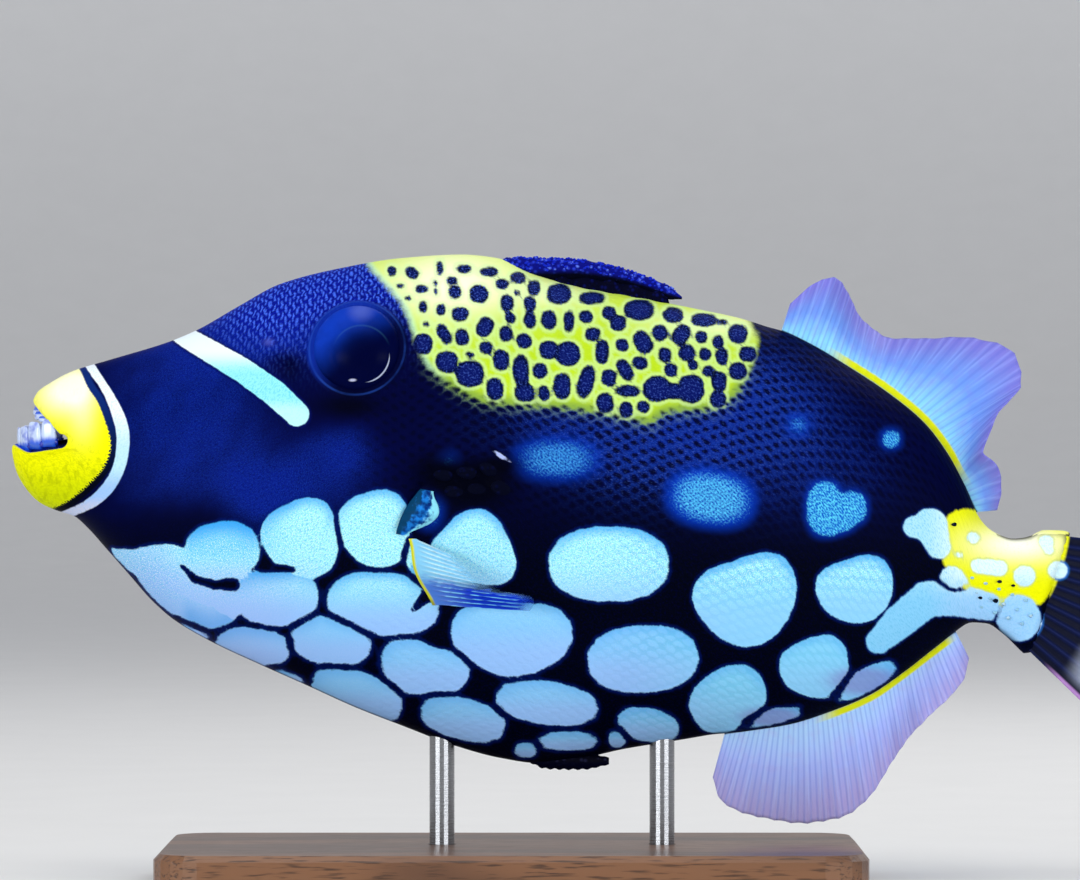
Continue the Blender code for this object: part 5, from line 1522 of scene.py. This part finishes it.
def soft_fin(name, band, band_span, foot, middle, edge):
    """Pale see-through fin skin with soft rays, a black line at the foot and a yellow band over it."""
    f = Finish(name, 0.5, Specular_IOR_Level=0.12)
    place = f.place(False)
    streak = f.noise(f.stretch(place, (420, 300, 420)), 1, 3)
    cloud = f.noise(place, 45, 2)
    across, sheet, ridge, reach = f.marks("across", "out", "ridge", "reach")
    out = sheet + (cloud - 0.5) * 0.35
    fine_rays = f.calc("SINE", across * 330)
    yellow = reach.rise(band[0] - 0.2, band[0] + 0.2) * reach.rise(band[1] + 0.25, band[1] - 0.2)
    span = across.rise(band_span[0], band_span[1]) * across.rise(band_span[3], band_span[2])
    colour = f.layers(
        foot,
        (out.rise(0, 0.5), middle), (out.rise(0.45, 1), edge), (ridge, 0.16, (196, 228, 255)),
        (fine_rays.rise(0.1, 0.95), 0.28, (70, 100, 214)), (streak.rise(0.45, 0.75), 0.25, edge),
        (yellow * span, (218, 226, 8)), (reach.rise(band[0] + 0.15, band[0] - 0.25), (1, 3, 16)),
    )
    f.relief(streak + ridge, 0.08, 0.4)
    sheer = sheet.rise(0.15, 1) * (1 - ridge * 0.5)
    f.put("Alpha", sheer.rise(0, 1, 1, 0.72))
    return f.colour(colour)


soft_dorsal = edge_fin("soft_dorsal_fin", back, SOFT_DORSAL_BASE, SOFT_DORSAL_RAY, SOFT_DORSAL_RAYS)
soft_dorsal.data.materials.append(soft_fin(
    "soft_dorsal_skin", (0.5, 1.85), (0.16, 0.30, 0.80, 0.92),
    (140, 222, 252), (112, 158, 244), (130, 124, 230)))
anal = edge_fin("lower_fin", belly, ANAL_BASE, ANAL_RAY, ANAL_RAYS)
anal.data.materials.append(soft_fin(
    "lower_fin_skin", (0.5, 1.8), (0.34, 0.46, 0.94, 1.0),
    (170, 212, 255), (172, 188, 255), (178, 166, 232)))
for fin, node in ((soft_dorsal, "second_dorsal_fin"), (anal, "anal_fin")):
    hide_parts(node)
    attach(fin, "root")
    print(fin.name, "faces:", len(fin.data.polygons))


# %% [markdown]
# The tail fin spreads from the end of the stalk. It is thick at its root, where scaly skin covers the rays,
# and its rays branch before the edge. It is black with a pale blurred band and a thin bright lower border.

# %% Tail fin
def make_tail_fin():
    """The tail fin spreads from the height of the stalk's end, thick there and thin at its edge."""
    length, angle, swing = ray_table(CAUDAL_RAY)
    rays = CAUDAL_RAYS + 1
    across, along = fin_grid(16 * CAUDAL_RAYS + 1, 60)
    top = body_surface(np.array(BODY_END), np.array(math.pi / 2))
    low = body_surface(np.array(BODY_END), np.array(-math.pi / 2))
    share = 0.04 + 0.92 * across
    root = low + (top - low) * share[..., None] + np.array([0.35, 0, 0])
    scallop = 0.025 * np.abs(np.cos(across * CAUDAL_RAYS * math.pi))
    far = length(across) * along * (1 - scallop)
    curve = swing(across) * along ** SWING_POWER
    middle = root + np.stack([far * np.cos(angle(across)), curve, far * np.sin(angle(across))], axis=-1)
    fade = np.exp(-along * length(across) / CAUDAL_ROOT_FADE)
    edge = np.sin(np.pi * np.clip(across, 0, 1)) ** 0.5
    body_half = CAUDAL_ROOT_HALF * fade * (0.25 + 0.75 * edge)
    ridge = ray_ridge(across, along, rays, 0.4)
    half = np.maximum(body_half, 0.22) + 0.30 * ridge * (1.2 - along)
    half = half * (1 - 0.5 * smooth_step(0.95, 1.0, along))
    gold, pale = stalk_marks(*side_view(middle))
    return fin_piece(
        "tail_fin", middle, half, across, along, ridge, {"reach": far, "gold": gold, "pale": pale})


def tail_skin():
    f = Finish("tail_skin", 0.5, Specular_IOR_Level=0.1)
    place = f.place(False)
    cloud = f.noise(place, 60, 2)
    streak = f.noise(f.stretch(place, (500, 500, 500)), 1, 3)
    across, out, ridge, reach, gold, pale = f.marks("across", "out", "ridge", "reach", "gold", "pale")
    out = out + (cloud - 0.5) * 0.12
    band = out.rise(0.2, 0.34) * out.rise(0.62, 0.46)
    band = band * (across.rise(0.02, 0.16) * across.rise(1, 0.84))
    white = f.mix(streak, (206, 214, 232), (164, 176, 210))
    low_edge = across.rise(0.035, 0.015) * reach.rise(4, 10)
    colour = f.layers(
        f.mix(ridge * 0.5, (2, 7, 34), (18, 34, 96)),
        (band, white), (out.rise(0.9, 0.96), 0.7, (10, 14, 50)), (low_edge, (176, 130, 196)),
        (gold.rise(-0.3, 0.4), (236, 240, 20)), (pale.rise(-0.6, 0.1), (30, 110, 200)),
        (pale.rise(-0.1, 0.35), (214, 246, 252)),
    )
    f.relief(streak + ridge, 0.12, 0.6)
    return f.colour(colour)


tail_fin = make_tail_fin()
tail_fin.data.materials.append(tail_skin())
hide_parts("caudal_fin")
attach(tail_fin, "root")
print("tail fin faces:", len(tail_fin.data.polygons))

# %% [markdown]
# The pectoral fins stand out from the flank and sweep back. They are clear and pale with blue rays below,
# and a yellow line crosses the foot, where the fin turns on the body.

# %% Pectoral fins
def make_pectoral(side):
    """A pectoral fin; its foot follows the flank and its skin sweeps back and out."""
    length, angle, swing = ray_table(PECTORAL_RAY)
    rays = PECTORAL_RAYS
    across, along = fin_grid(12 * (rays - 1) + 1, 36, -0.14)
    x, z = part_way(PECTORAL_BOTTOM, PECTORAL_TOP, across)
    x = x - 1.1 * np.sin(math.pi * across) ** 2
    out = side_at(x, z)
    lift = np.where(
        along < 0, 2.4 * along, swing(across) * np.sin(np.maximum(along, 0) * math.pi / 2) ** 0.9)
    reach = np.where(along < 0, 0.6 * along, length(across) * along)
    reach_x = np.where(along < 0, reach, reach * np.cos(angle(across)))
    reach_z = np.where(along < 0, 0, reach * np.sin(angle(across)))
    middle = np.stack([x + reach_x, side * (out + lift), z + reach_z], axis=-1)
    ridge = ray_ridge(across, along, rays, 0.5)
    ridge = ridge * smooth_step(0.04, 0.2, along)
    half = 0.14 + 0.16 * ridge * (1 - 0.5 * np.maximum(along, 0))
    half = half + 0.6 * np.exp(-((along + 0.01) / 0.07) ** 2)
    name = "pectoral_left_fin" if side < 0 else "pectoral_right_fin"
    return fin_piece(name, middle, half, across, along, ridge, {"reach": reach})


def pectoral_skin():
    f = Finish("pectoral_skin", 0.4, Specular_IOR_Level=0.05)
    place = f.place(False)
    streak = f.noise(f.stretch(place, (300, 500, 1500)), 1, 3)
    across, out, ridge, reach = f.marks("across", "out", "ridge", "reach")
    lower = (across + streak * 0.25).rise(0.66, 0.4)
    lower = lower * out.rise(0, 0.5, 0.7, 1)
    pale_ray = ridge.rise(0.3, 0.9) * streak.rise(0.38, 0.56)
    line = reach.rise(-1.4, -1) * reach.rise(0.7, 0.3)
    dark = across.rise(0.14, 0.02) * 0.7
    colour = f.layers(
        f.mix(ridge, (140, 214, 252), (206, 244, 255)),
        (lower, f.mix(pale_ray, (10, 52, 206), (120, 208, 255))),
        (line, f.mix(dark, (226, 226, 44), (110, 110, 20))),
    )
    f.relief(streak + ridge, 0.08, 0.5)
    near_root = (out + streak * 0.3).rise(0.95, 0.3, 0, 0.85)
    tip = out.rise(1, 0.8, 0.25, 0.8)
    rays = (across + streak * 0.25).rise(0.58, 0.4)
    solid = f.calc("MAXIMUM", f.calc("MAXIMUM", line, rays * tip), near_root)
    f.put("Alpha", solid.rise(0, 1, 0, 1))
    return f.colour(colour)


pectoral_finish = pectoral_skin()
for way, node in ((-1, "pectoral_fin_left"), (1, "pectoral_fin_right")):
    fin = make_pectoral(way)
    fin.data.materials.append(pectoral_finish)
    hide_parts(node)
    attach(fin, "root")
print("pectoral faces:", len(fin.data.polygons))

# %% [markdown]
# A triggerfish has only a short gill slit, closed by a soft flap. The flap is blue with a pale cyan rim,
# and I make it as a small bowed sheet that stands off the skin at its free edge.

# %% Gill flaps
GILL_FLAP_LONG = 6.4
GILL_FLAP_LIFT = 1.9
GILL_FLAP_SUNK = 0.9
GILL_FLAP_HALF = 0.42
GILL_FLAP_FALL = 0.12


def make_flap(side):
    """A gill flap: a bowed sheet with a round free edge."""
    across, along = fin_grid(40, 22)
    x, z = part_way(GILL_BOTTOM, GILL_TOP, across)
    bow = np.sin(math.pi * across)
    far = GILL_FLAP_LONG * (0.35 + 0.65 * bow ** 1.4)
    px = x - 0.9 * bow + far * along
    pz = z - GILL_FLAP_FALL * far * along
    lift = GILL_FLAP_LIFT * np.sin(math.pi * (0.15 + 0.7 * along)) * (0.5 + 0.5 * bow)
    middle = np.stack([px, side * (side_at(px, pz) - GILL_FLAP_SUNK + lift), pz], axis=-1)
    ridge = np.abs(np.sin(across * 15)) ** 3
    half = GILL_FLAP_HALF * (1 - 0.55 * along ** 2) + 0.05 * ridge
    name = "flap_left" if side < 0 else "flap_right"
    return fin_piece(name, middle, half, across, along, ridge)


def flap_skin():
    f = Finish("flap_skin", 0.4, Specular_IOR_Level=0.03)
    place = f.place(False)
    mottle = f.noise(place, 900, 3)
    reach = f.mark("out") + (mottle - 0.5) * 0.7
    colour = f.layers(
        f.mix(mottle.rise(0.35, 0.65), (3, 44, 120), (28, 128, 220)),
        (f.mark("ridge"), 0.4, (2, 30, 80)), (reach.rise(0.42, 0.22), (6, 60, 98)),
        (reach.rise(0.66, 0.86), (140, 226, 246)),
    )
    f.relief(mottle + f.mark("ridge"), 0.1, 0.7)
    return f.colour(colour)


flap_finish = flap_skin()
for way, node in ((-1, "gill_flap_left"), (1, "gill_flap_right")):
    flap = make_flap(way)
    flap.data.materials.append(flap_finish)
    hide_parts(node)
    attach(flap, "root")
print("flap faces:", len(flap.data.polygons))

# %% [markdown]
# The first dorsal fin is folded down in its groove. Its stout front spine, which gives the fish its name,
# is covered in grains. The spine is a tapering tube along a line, with the folded fin skin under it.

# %% The folded trigger spine and the pelvic stub
TRIGGER_LINE = ((97.6, 122.6), (104, 122.8), (112, 122.9), (120, 121.9), (128, 119.6), (134, 117.2))
TRIGGER_TALL = 2.7
TRIGGER_WIDE = 2.0
FOLDED_FIN = (100.0, 131.0)
FOLDED_FIN_HALF = 0.9
PELVIC_LINE = ((103.0, 26.4), (106.5, 25.2), (111.0, 24.9), (115.5, 24.6), (119.4, 24.6))
PELVIC_TALL = (1.8, 2.1, 2.0, 1.6, 0.7)
PELVIC_WIDE = (1.2, 1.5, 1.6, 1.4, 0.7)


def tapered_tube(path, tall, wide, turns=24):
    """Points, faces and marks of a tube whose half height and half width change along a path."""
    angles = turns_of(turns)
    rings = [
        [np.array((x, w * math.cos(a), z + h * math.sin(a))) for a in angles]
        for (x, z), h, w in zip(path, tall, wide)]
    top = np.append(np.tile(np.sin(angles), len(rings)), (0, 0))
    return *closed_loft(rings), {"top": top}


trigger = smooth_line(TRIGGER_LINE)
share = np.linspace(0, 1, 60)
trigger_x = TRIGGER_LINE[0][0] + (TRIGGER_LINE[-1][0] - TRIGGER_LINE[0][0]) * share
blunt = np.sqrt(np.clip(1 - (1 - np.clip(share / 0.04, 0, 1)) ** 2, 0.05, 1))
blunt = blunt * np.where(share > 0.94, (1 - share) / 0.06 * 0.8 + 0.2, 1)
ribs = 1 + 0.05 * np.sin(share * 70)
trigger_tall = TRIGGER_TALL * (1 - 0.55 * share) * blunt * ribs
trigger_wide = TRIGGER_WIDE * (1 - 0.55 * share) * blunt * ribs
points, faces, tops = tapered_tube(list(zip(trigger_x, trigger(trigger_x))), trigger_tall, trigger_wide)
fold_x, fold_rise = np.broadcast_arrays(
    np.linspace(*FOLDED_FIN, 60)[:, None], np.linspace(-0.35, 1, 14)[None, :])
fold_top = trigger(fold_x)
fold_z = back(fold_x) + (fold_top - back(fold_x)) * fold_rise
fold_y = 0.5 * np.sin(fold_x * 1.3) * np.clip(1 - fold_rise, 0, 1)
fold_half = FOLDED_FIN_HALF * (1 - 0.3 * fold_rise) * (0.9 + 0.2 * np.abs(np.sin(fold_x * 1.3)))
folded_skin = fin_piece(
    "folded_fin_skin", np.stack([fold_x, fold_y, fold_z], axis=-1), fold_half,
    (fold_x - FOLDED_FIN[0]) / (FOLDED_FIN[1] - FOLDED_FIN[0]), fold_rise, np.zeros(fold_x.shape))
trigger_spine = make_piece("folded_first_fin", points, faces, tops)
pelvic = smooth_line(PELVIC_LINE)
pelvic_x = np.linspace(PELVIC_LINE[0][0], PELVIC_LINE[-1][0], 40)
known = [p[0] for p in PELVIC_LINE]
points, faces, tops = tapered_tube(
    list(zip(pelvic_x, pelvic(pelvic_x))),
    np.interp(pelvic_x, known, PELVIC_TALL) * (1 + 0.08 * np.sin(pelvic_x * 3.4)),
    np.interp(pelvic_x, known, PELVIC_WIDE),
)
pelvic_stub = make_piece("pelvic_stub", points, faces, tops)
print("spine length, mm:", round(float(np.ptp(trigger_x)), 1))


def granular_skin(name, dark, bright, shade_low=False):
    """Grainy skin of two colours, darker on its underside where that is asked for."""
    f = Finish(name, 0.6, Specular_IOR_Level=0.03)
    place = f.place(False)
    grains = f.cells(place, 900)
    broad = f.noise(place, 140, 2)
    colour = f.layers(dark, (grains.rise(0.5, 0.1), bright), (broad, 0.4, dark))
    if shade_low:
        colour = f.mix(f.mark("top").rise(0.1, -0.5), colour, (1, 2, 24))
    f.relief(grains.rise(0.6, 0), 0.2, 0.8)
    return f.colour(colour)


spine_blue = granular_skin("spine_blue", (8, 14, 120), (40, 62, 214), True)
dark_grain = granular_skin("keel_grain", (6, 6, 20), (34, 36, 66), True)
fold_dark = granular_skin("folded_skin", (1, 2, 28), (8, 14, 84))
for piece, finish, node in (
    (trigger_spine, spine_blue, "first_dorsal_fin"), (pelvic_stub, dark_grain, "pelvic_spine"),
    (folded_skin, fold_dark, None),
):
    piece.data.materials.append(finish)
    if node:
        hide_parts(node)
    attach(piece, "root")

# %% [markdown]
# Geometry Nodes make what repeats: the enlarged plates behind the gill, the rows of small spines on the
# tail stalk, and the grains of the trigger spine. Each set starts as bare points that know which way the
# skin faces. One tree puts a rounded plate or a spine on each point, turned to the skin, with a little
# random size from a fixed seed. It ends in Realize Instances and Set Material, and the result is kept as a
# plain mesh.

# %% A tree that stands plates or spines on points
def rows_tree(pointed):
    """A tree that stands one shape on each point, and the names that a modifier gives its inputs."""
    tree = bpy.data.node_groups.new("standing_spines" if pointed else "raised_plates", "GeometryNodeTree")
    face = tree.interface
    face.new_socket("Geometry", in_out="OUTPUT", socket_type="NodeSocketGeometry")
    sockets = {}
    for label, kind in (
        ("Points", "Geometry"), ("Length", "Float"), ("Width", "Float"), ("Height", "Float"),
        ("Least size", "Float"), ("Seed", "Int"), ("Finish", "Material"),
    ):
        made = face.new_socket(label, in_out="INPUT", socket_type="NodeSocket" + kind)
        sockets[label] = made.identifier

    def add(kind, inputs, **settings):
        """A node with its settings; each input is another node's output or a plain value."""
        made = tree.nodes.new(kind)
        for key, value in settings.items():
            setattr(made, key, value)
        for key, value in inputs.items():
            if isinstance(value, bpy.types.NodeSocket):
                tree.links.new(value, made.inputs[key])
            else:
                made.inputs[key].default_value = value
        return made.outputs[0] if made.outputs else made

    given = tree.nodes.new("NodeGroupInput").outputs
    if pointed:
        shape = add("GeometryNodeMeshCone", {
            "Vertices": 14, "Side Segments": 5, "Radius Top": 0.08, "Radius Bottom": 1.0, "Depth": 1.0})
    else:
        shape = add("GeometryNodeMeshIcoSphere", {"Radius": 1.0, "Subdivisions": 4})
    size = add("ShaderNodeCombineXYZ", {"X": given["Length"], "Y": given["Width"], "Z": given["Height"]})
    random = tree.nodes.new("FunctionNodeRandomValue")
    random.inputs["Max"].default_value = 1.0
    tree.links.new(given["Least size"], random.inputs["Min"])
    tree.links.new(given["Seed"], random.inputs["Seed"])
    grow = add("ShaderNodeVectorMath", {0: size, "Scale": random.outputs["Value"]}, operation="SCALE")
    turn = (0.0, 0.0, 0.0)
    for mark, axis, pivot in (("facing", "Z", "AUTO"), ("heading", "X", "Z")):
        way = add("GeometryNodeInputNamedAttribute", {"Name": mark}, data_type="FLOAT_VECTOR")
        turn = add(
            "FunctionNodeAlignRotationToVector", {"Vector": way, "Rotation": turn},
            axis=axis, pivot_axis=pivot)
    stood = add("GeometryNodeInstanceOnPoints", {
        "Points": given["Points"], "Instance": shape, "Rotation": turn, "Scale": grow})
    real = add("GeometryNodeRealizeInstances", {0: stood})
    smooth = add("GeometryNodeSetShadeSmooth", {0: real})
    painted = add("GeometryNodeSetMaterial", {"Geometry": smooth, "Material": given["Finish"]})
    add("NodeGroupOutput", {0: painted})
    return tree, sockets


PLATES = rows_tree(False)
SPINES = rows_tree(True)


def stand_on(name, made, stands, finish, size, least, seed):
    """Runs the tree on stands and keeps the result as a plain mesh object.

    A stand is a point in millimetres, the way it faces and the way it heads.
    """
    tree, sockets = made
    places, facing, heading = zip(*stands)
    carrier = make_piece(name + "_points", places, [])
    for mark, vectors in (("facing", facing), ("heading", heading)):
        layer = carrier.data.attributes.new(mark, "FLOAT_VECTOR", "POINT")
        layer.data.foreach_set("vector", np.asarray(vectors, np.float32).ravel())
    rows = carrier.modifiers.new("rows", "NODES")
    rows.node_group = tree
    given = (*(side * MM for side in size), least, seed, finish)
    for label, value in zip(("Length", "Width", "Height", "Least size", "Seed", "Finish"), given):
        rows[sockets[label]] = value
    seen = carrier.evaluated_get(bpy.context.evaluated_depsgraph_get())
    mesh = bpy.data.meshes.new_from_object(seen)
    mesh.name = name
    piece = bpy.data.objects.new(name, mesh)
    bpy.context.scene.collection.objects.link(piece)
    bpy.data.objects.remove(carrier)
    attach(piece, "root")
    print(name, "faces:", len(mesh.polygons))
    return piece


# %% Plates behind the gill
SCUTE_START = (88.8, 82.2)
SCUTE_STEP = (4.6, 3.9)
SCUTE_SIZE = (2.2, 1.5, 0.34)
SCUTE_ROWS = (3, 3)
plate_finish = granular_skin("gill_plate", (0, 2, 22), (2, 6, 44))
plates = []
for way in (-1, 1):
    for r, count in enumerate(SCUTE_ROWS):
        for i in range(count):
            x = SCUTE_START[0] + SCUTE_STEP[0] * (i + 0.5 * (r % 2) - 0.5)
            z = SCUTE_START[1] - SCUTE_STEP[1] * r + 0.5 * i
            out = float(side_at(x, z)) - 0.10 - hollow_depth(x, z)
            plates.append(((x, way * out, z), skin_normal(x, z, way), (1, 0, -0.35)))
stand_on("gill_plates", PLATES, plates, plate_finish, SCUTE_SIZE, 0.85, 5)

# %% Small spines on the tail stalk
SPINELET_ROWS = ((191.6, 61.4, 5), (192.6, 58.4, 5), (193.6, 55.6, 4))
SPINELET_STEP = 2.7
DARK_SPINES = ((188.0, 72.0), (197.2, 60.6), (200.0, 59.8), (193.4, 57.4), (196.4, 56.8))
pale_rows = [
    (x0 + SPINELET_STEP * i, z0 - 0.42 * SPINELET_STEP * i)
    for x0, z0, count in SPINELET_ROWS for i in range(count)
]
pale_spine = granular_skin("pale_stalk_spine", (150, 200, 226), (214, 236, 244))
dark_spine = granular_skin("dark_stalk_spine", (4, 10, 36), (20, 44, 70))
for name, spots, finish, high in (
    ("pale_stalk_spines", pale_rows, pale_spine, 0.9), ("dark_stalk_spines", DARK_SPINES, dark_spine, 1.5),
):
    spines = [
        ((x, way * (float(side_at(x, z)) - 0.3), z), (-0.55, way, 0), (1, 0, 0))
        for way in (-1, 1) for x, z in spots]
    stand_on(name, SPINES, spines, finish, (0.55, 0.5, high), 0.8, 7)

# %% Grains of the trigger spine
rng = np.random.default_rng(11)
grains = []
for _ in range(420):
    t = rng.uniform(0.01, 0.97)
    a = rng.uniform(-0.15, math.pi + 0.15)
    x = float(np.interp(t, share, trigger_x))
    tall = float(np.interp(t, share, trigger_tall))
    wide = float(np.interp(t, share, trigger_wide))
    place = (x, wide * math.cos(a), float(trigger(x)) + tall * math.sin(a))
    normal = Vector((0, math.cos(a) / wide, math.sin(a) / tall)).normalized()
    grains.append((place, normal, (1, 0, 0)))
bright_grain = granular_skin("spine_grain", (20, 40, 190), (110, 140, 250))
stand_on("trigger_grains", PLATES, grains, bright_grain, (0.36, 0.26, 0.3), 0.5, 9)


# %% [markdown]
# The stand is plain: a walnut base and two short steel rods. Their solids already have the right shape, so
# they stay and only get finishes. Walnut is drawn from long stretched noise along the base, and the steel
# has fine brushed lines round the rod. Colour, roughness and bump all come from the object's own
# coordinates.

# %% Walnut base and steel rods
def walnut():
    """Oiled walnut with long grain and fine pores."""
    f = Finish("oiled_walnut", 0.38, Specular_IOR_Level=0.4, Coat_Weight=0.15, Coat_Roughness=0.2)
    place = f.place(False)
    drift = f.noise(f.stretch(place, (8, 30, 30)), 1, 3)
    _, y, z = f.parts(place)
    depth = y * 160 + z * 90
    rings = f.calc("SINE", depth + drift * 14)
    pores = f.noise(f.stretch(place, (140, 1800, 1800)), 1, 2)
    colour = f.layers(
        f.mix(rings.rise(-1, 1), (74, 46, 30), (122, 82, 54)),
        (pores.rise(0.52, 0.68), (48, 28, 18)), (drift, 0.35, (146, 100, 66)),
    )
    f.relief(pores.rise(0.7, 0.5), 0.08, 0.5)
    return f.colour(colour)


def brushed_steel():
    """Steel with fine brushed lines."""
    f = Finish("brushed_steel", 0.28, Metallic=1)
    place = f.place(False)
    lines = f.noise(f.stretch(place, (120, 120, 9000)), 1, 2)
    colour = f.mix(lines, (120, 122, 126), (158, 159, 162))
    f.put("Roughness", lines.rise(0.2, 0.8, 0.2, 0.36))
    f.relief(lines, 0.02, 0.6)
    return f.colour(colour)


stand_finishes = {"stand_base": walnut(), "stand_rod_front": brushed_steel()}
stand_finishes["stand_rod_rear"] = stand_finishes["stand_rod_front"]
for node, finish in stand_finishes.items():
    solid = frame["nodes"][node]
    solid.data.materials.clear()
    solid.data.materials.append(finish)
    print(node, "->", finish.name)

# %% [markdown]
# A round studio sweep stands about the fish: a pale floor that curves up into a pale wall far away on all
# sides, so no horizon crosses the fish and each side can be looked at. It is one profile turned about the
# middle. The camera looks straight at the fish's left side from 1.2 m with a long lens, as the photograph
# does.

# %% Floor and wall in one sweep
def make_sweep(flat=2.5, bend=1.2, wall=2.6, turns=96):
    """A floor of a radius in metres that bends up into a wall, all round."""
    floor = [(flat * k / 6, 0.0) for k in range(1, 7)]
    quarter = np.linspace(0, math.pi / 2, 24)[1:]
    curve = [(flat + bend * math.sin(a), bend - bend * math.cos(a)) for a in quarter]
    profile = floor + curve + [(flat + bend, wall)]
    points = [(0.0, 0.0, 0.0)]
    for across, up in profile:
        points += [(across * math.cos(a), across * math.sin(a), up) for a in turns_of(turns)]
    faces = [(0, 1 + k, 1 + (k + 1) % turns) for k in range(turns)]
    faces += [tuple(1 + k for k in face) for face in grid_faces(len(profile), turns, True)]
    mesh = bpy.data.meshes.new("studio_sweep")
    mesh.from_pydata(points, [], faces)
    mesh.shade_smooth()
    sweep = bpy.data.objects.new("studio_sweep", mesh)
    bpy.context.scene.collection.objects.link(sweep)
    return sweep


sweep = make_sweep()
paper = Finish("pale_paper", 0.9, Specular_IOR_Level=0.1)
fibres = paper.noise(paper.place(False), 40.0, 3.0)
sweep.data.materials.append(paper.colour(paper.mix(fibres, (226, 225, 223), (231, 230, 228))))
_, _, up = paper.parts(paper.place(False))
# the sweep also glows faintly, more as it rises towards the wall: painted light that brightens the backdrop
# and is not sampled as a lamp
paper.put("Emission Color", tone(226, 228, 232))
paper.put("Emission Strength", up.rise(0.05, 0.9, 0.05, 0.3))
paper.material.cycles.emission_sampling = "NONE"
print("sweep ready")

# %% Camera at the photograph's angle
LENS = 200.0
SENSOR = 36.0
NEAREST = 0.05
VIEW_MIDDLE_WORLD = ((VIEW_MIDDLE[0] - ORIGIN_X) * MM, VIEW_MIDDLE[1] * MM)
camera_data = bpy.data.cameras.new("side_camera")
camera_data.lens = LENS
camera_data.sensor_width = SENSOR
camera_data.clip_start = NEAREST
camera = bpy.data.objects.new("side_camera", camera_data)
camera.location = (VIEW_MIDDLE_WORLD[0], -CAMERA_FAR * MM, VIEW_MIDDLE_WORLD[1])
camera.rotation_euler = (math.pi / 2, 0, 0)
bpy.context.scene.collection.objects.link(camera)
bpy.context.scene.camera = camera
print("camera at", [round(v, 3) for v in camera.location])

# %% [markdown]
# Four soft lights and an even room. One hangs over the fish a little towards the camera and gives the
# bright back and the shine on the muzzle. Two low ones stand left and right of the camera and light the
# belly, which faces down, and a weaker one behind keeps the far side and the fins' edges from going dark.

# %% Soft studio lights
def soft_light(name, place, aim_height, size, power, colour):
    """A rectangular light that looks at the fish's middle line, at a height over the floor."""
    data = bpy.data.lights.new(name, "AREA")
    data.shape = "RECTANGLE"
    data.size, data.size_y = size
    data.energy = power
    data.color = colour
    lamp = bpy.data.objects.new(name, data)
    lamp.location = place
    lamp.rotation_euler = (Vector((0, 0, aim_height)) - Vector(place)).to_track_quat("-Z", "Y").to_euler()
    bpy.context.scene.collection.objects.link(lamp)


LIGHTS = (
    ("over_light", (-0.15, -0.35, 0.95), 0.08, (0.9, 0.6), 4.4, (1.0, 0.99, 0.97)),
    ("left_light", (-0.75, -0.95, 0.03), 0.07, (0.5, 0.5), 7.8, (0.97, 0.99, 1.0)),
    ("right_light", (0.75, -0.95, 0.03), 0.07, (0.5, 0.5), 6.7, (0.97, 0.99, 1.0)),
    ("back_light", (0.5, 0.55, 0.7), 0.08, (0.7, 0.5), 3.0, (1.0, 1.0, 1.0)),
)
ROOM_COLOUR = (0.86, 0.90, 1.0, 1.0)
ROOM_STRENGTH = 0.40
for light in LIGHTS:
    soft_light(*light)
world = bpy.data.worlds.new("studio_room")
bpy.context.scene.world = world
world.use_nodes = True
room = world.node_tree.nodes["Background"].inputs
room["Color"].default_value = ROOM_COLOUR
room["Strength"].default_value = ROOM_STRENGTH
bpy.context.scene.view_settings.view_transform = "Standard"
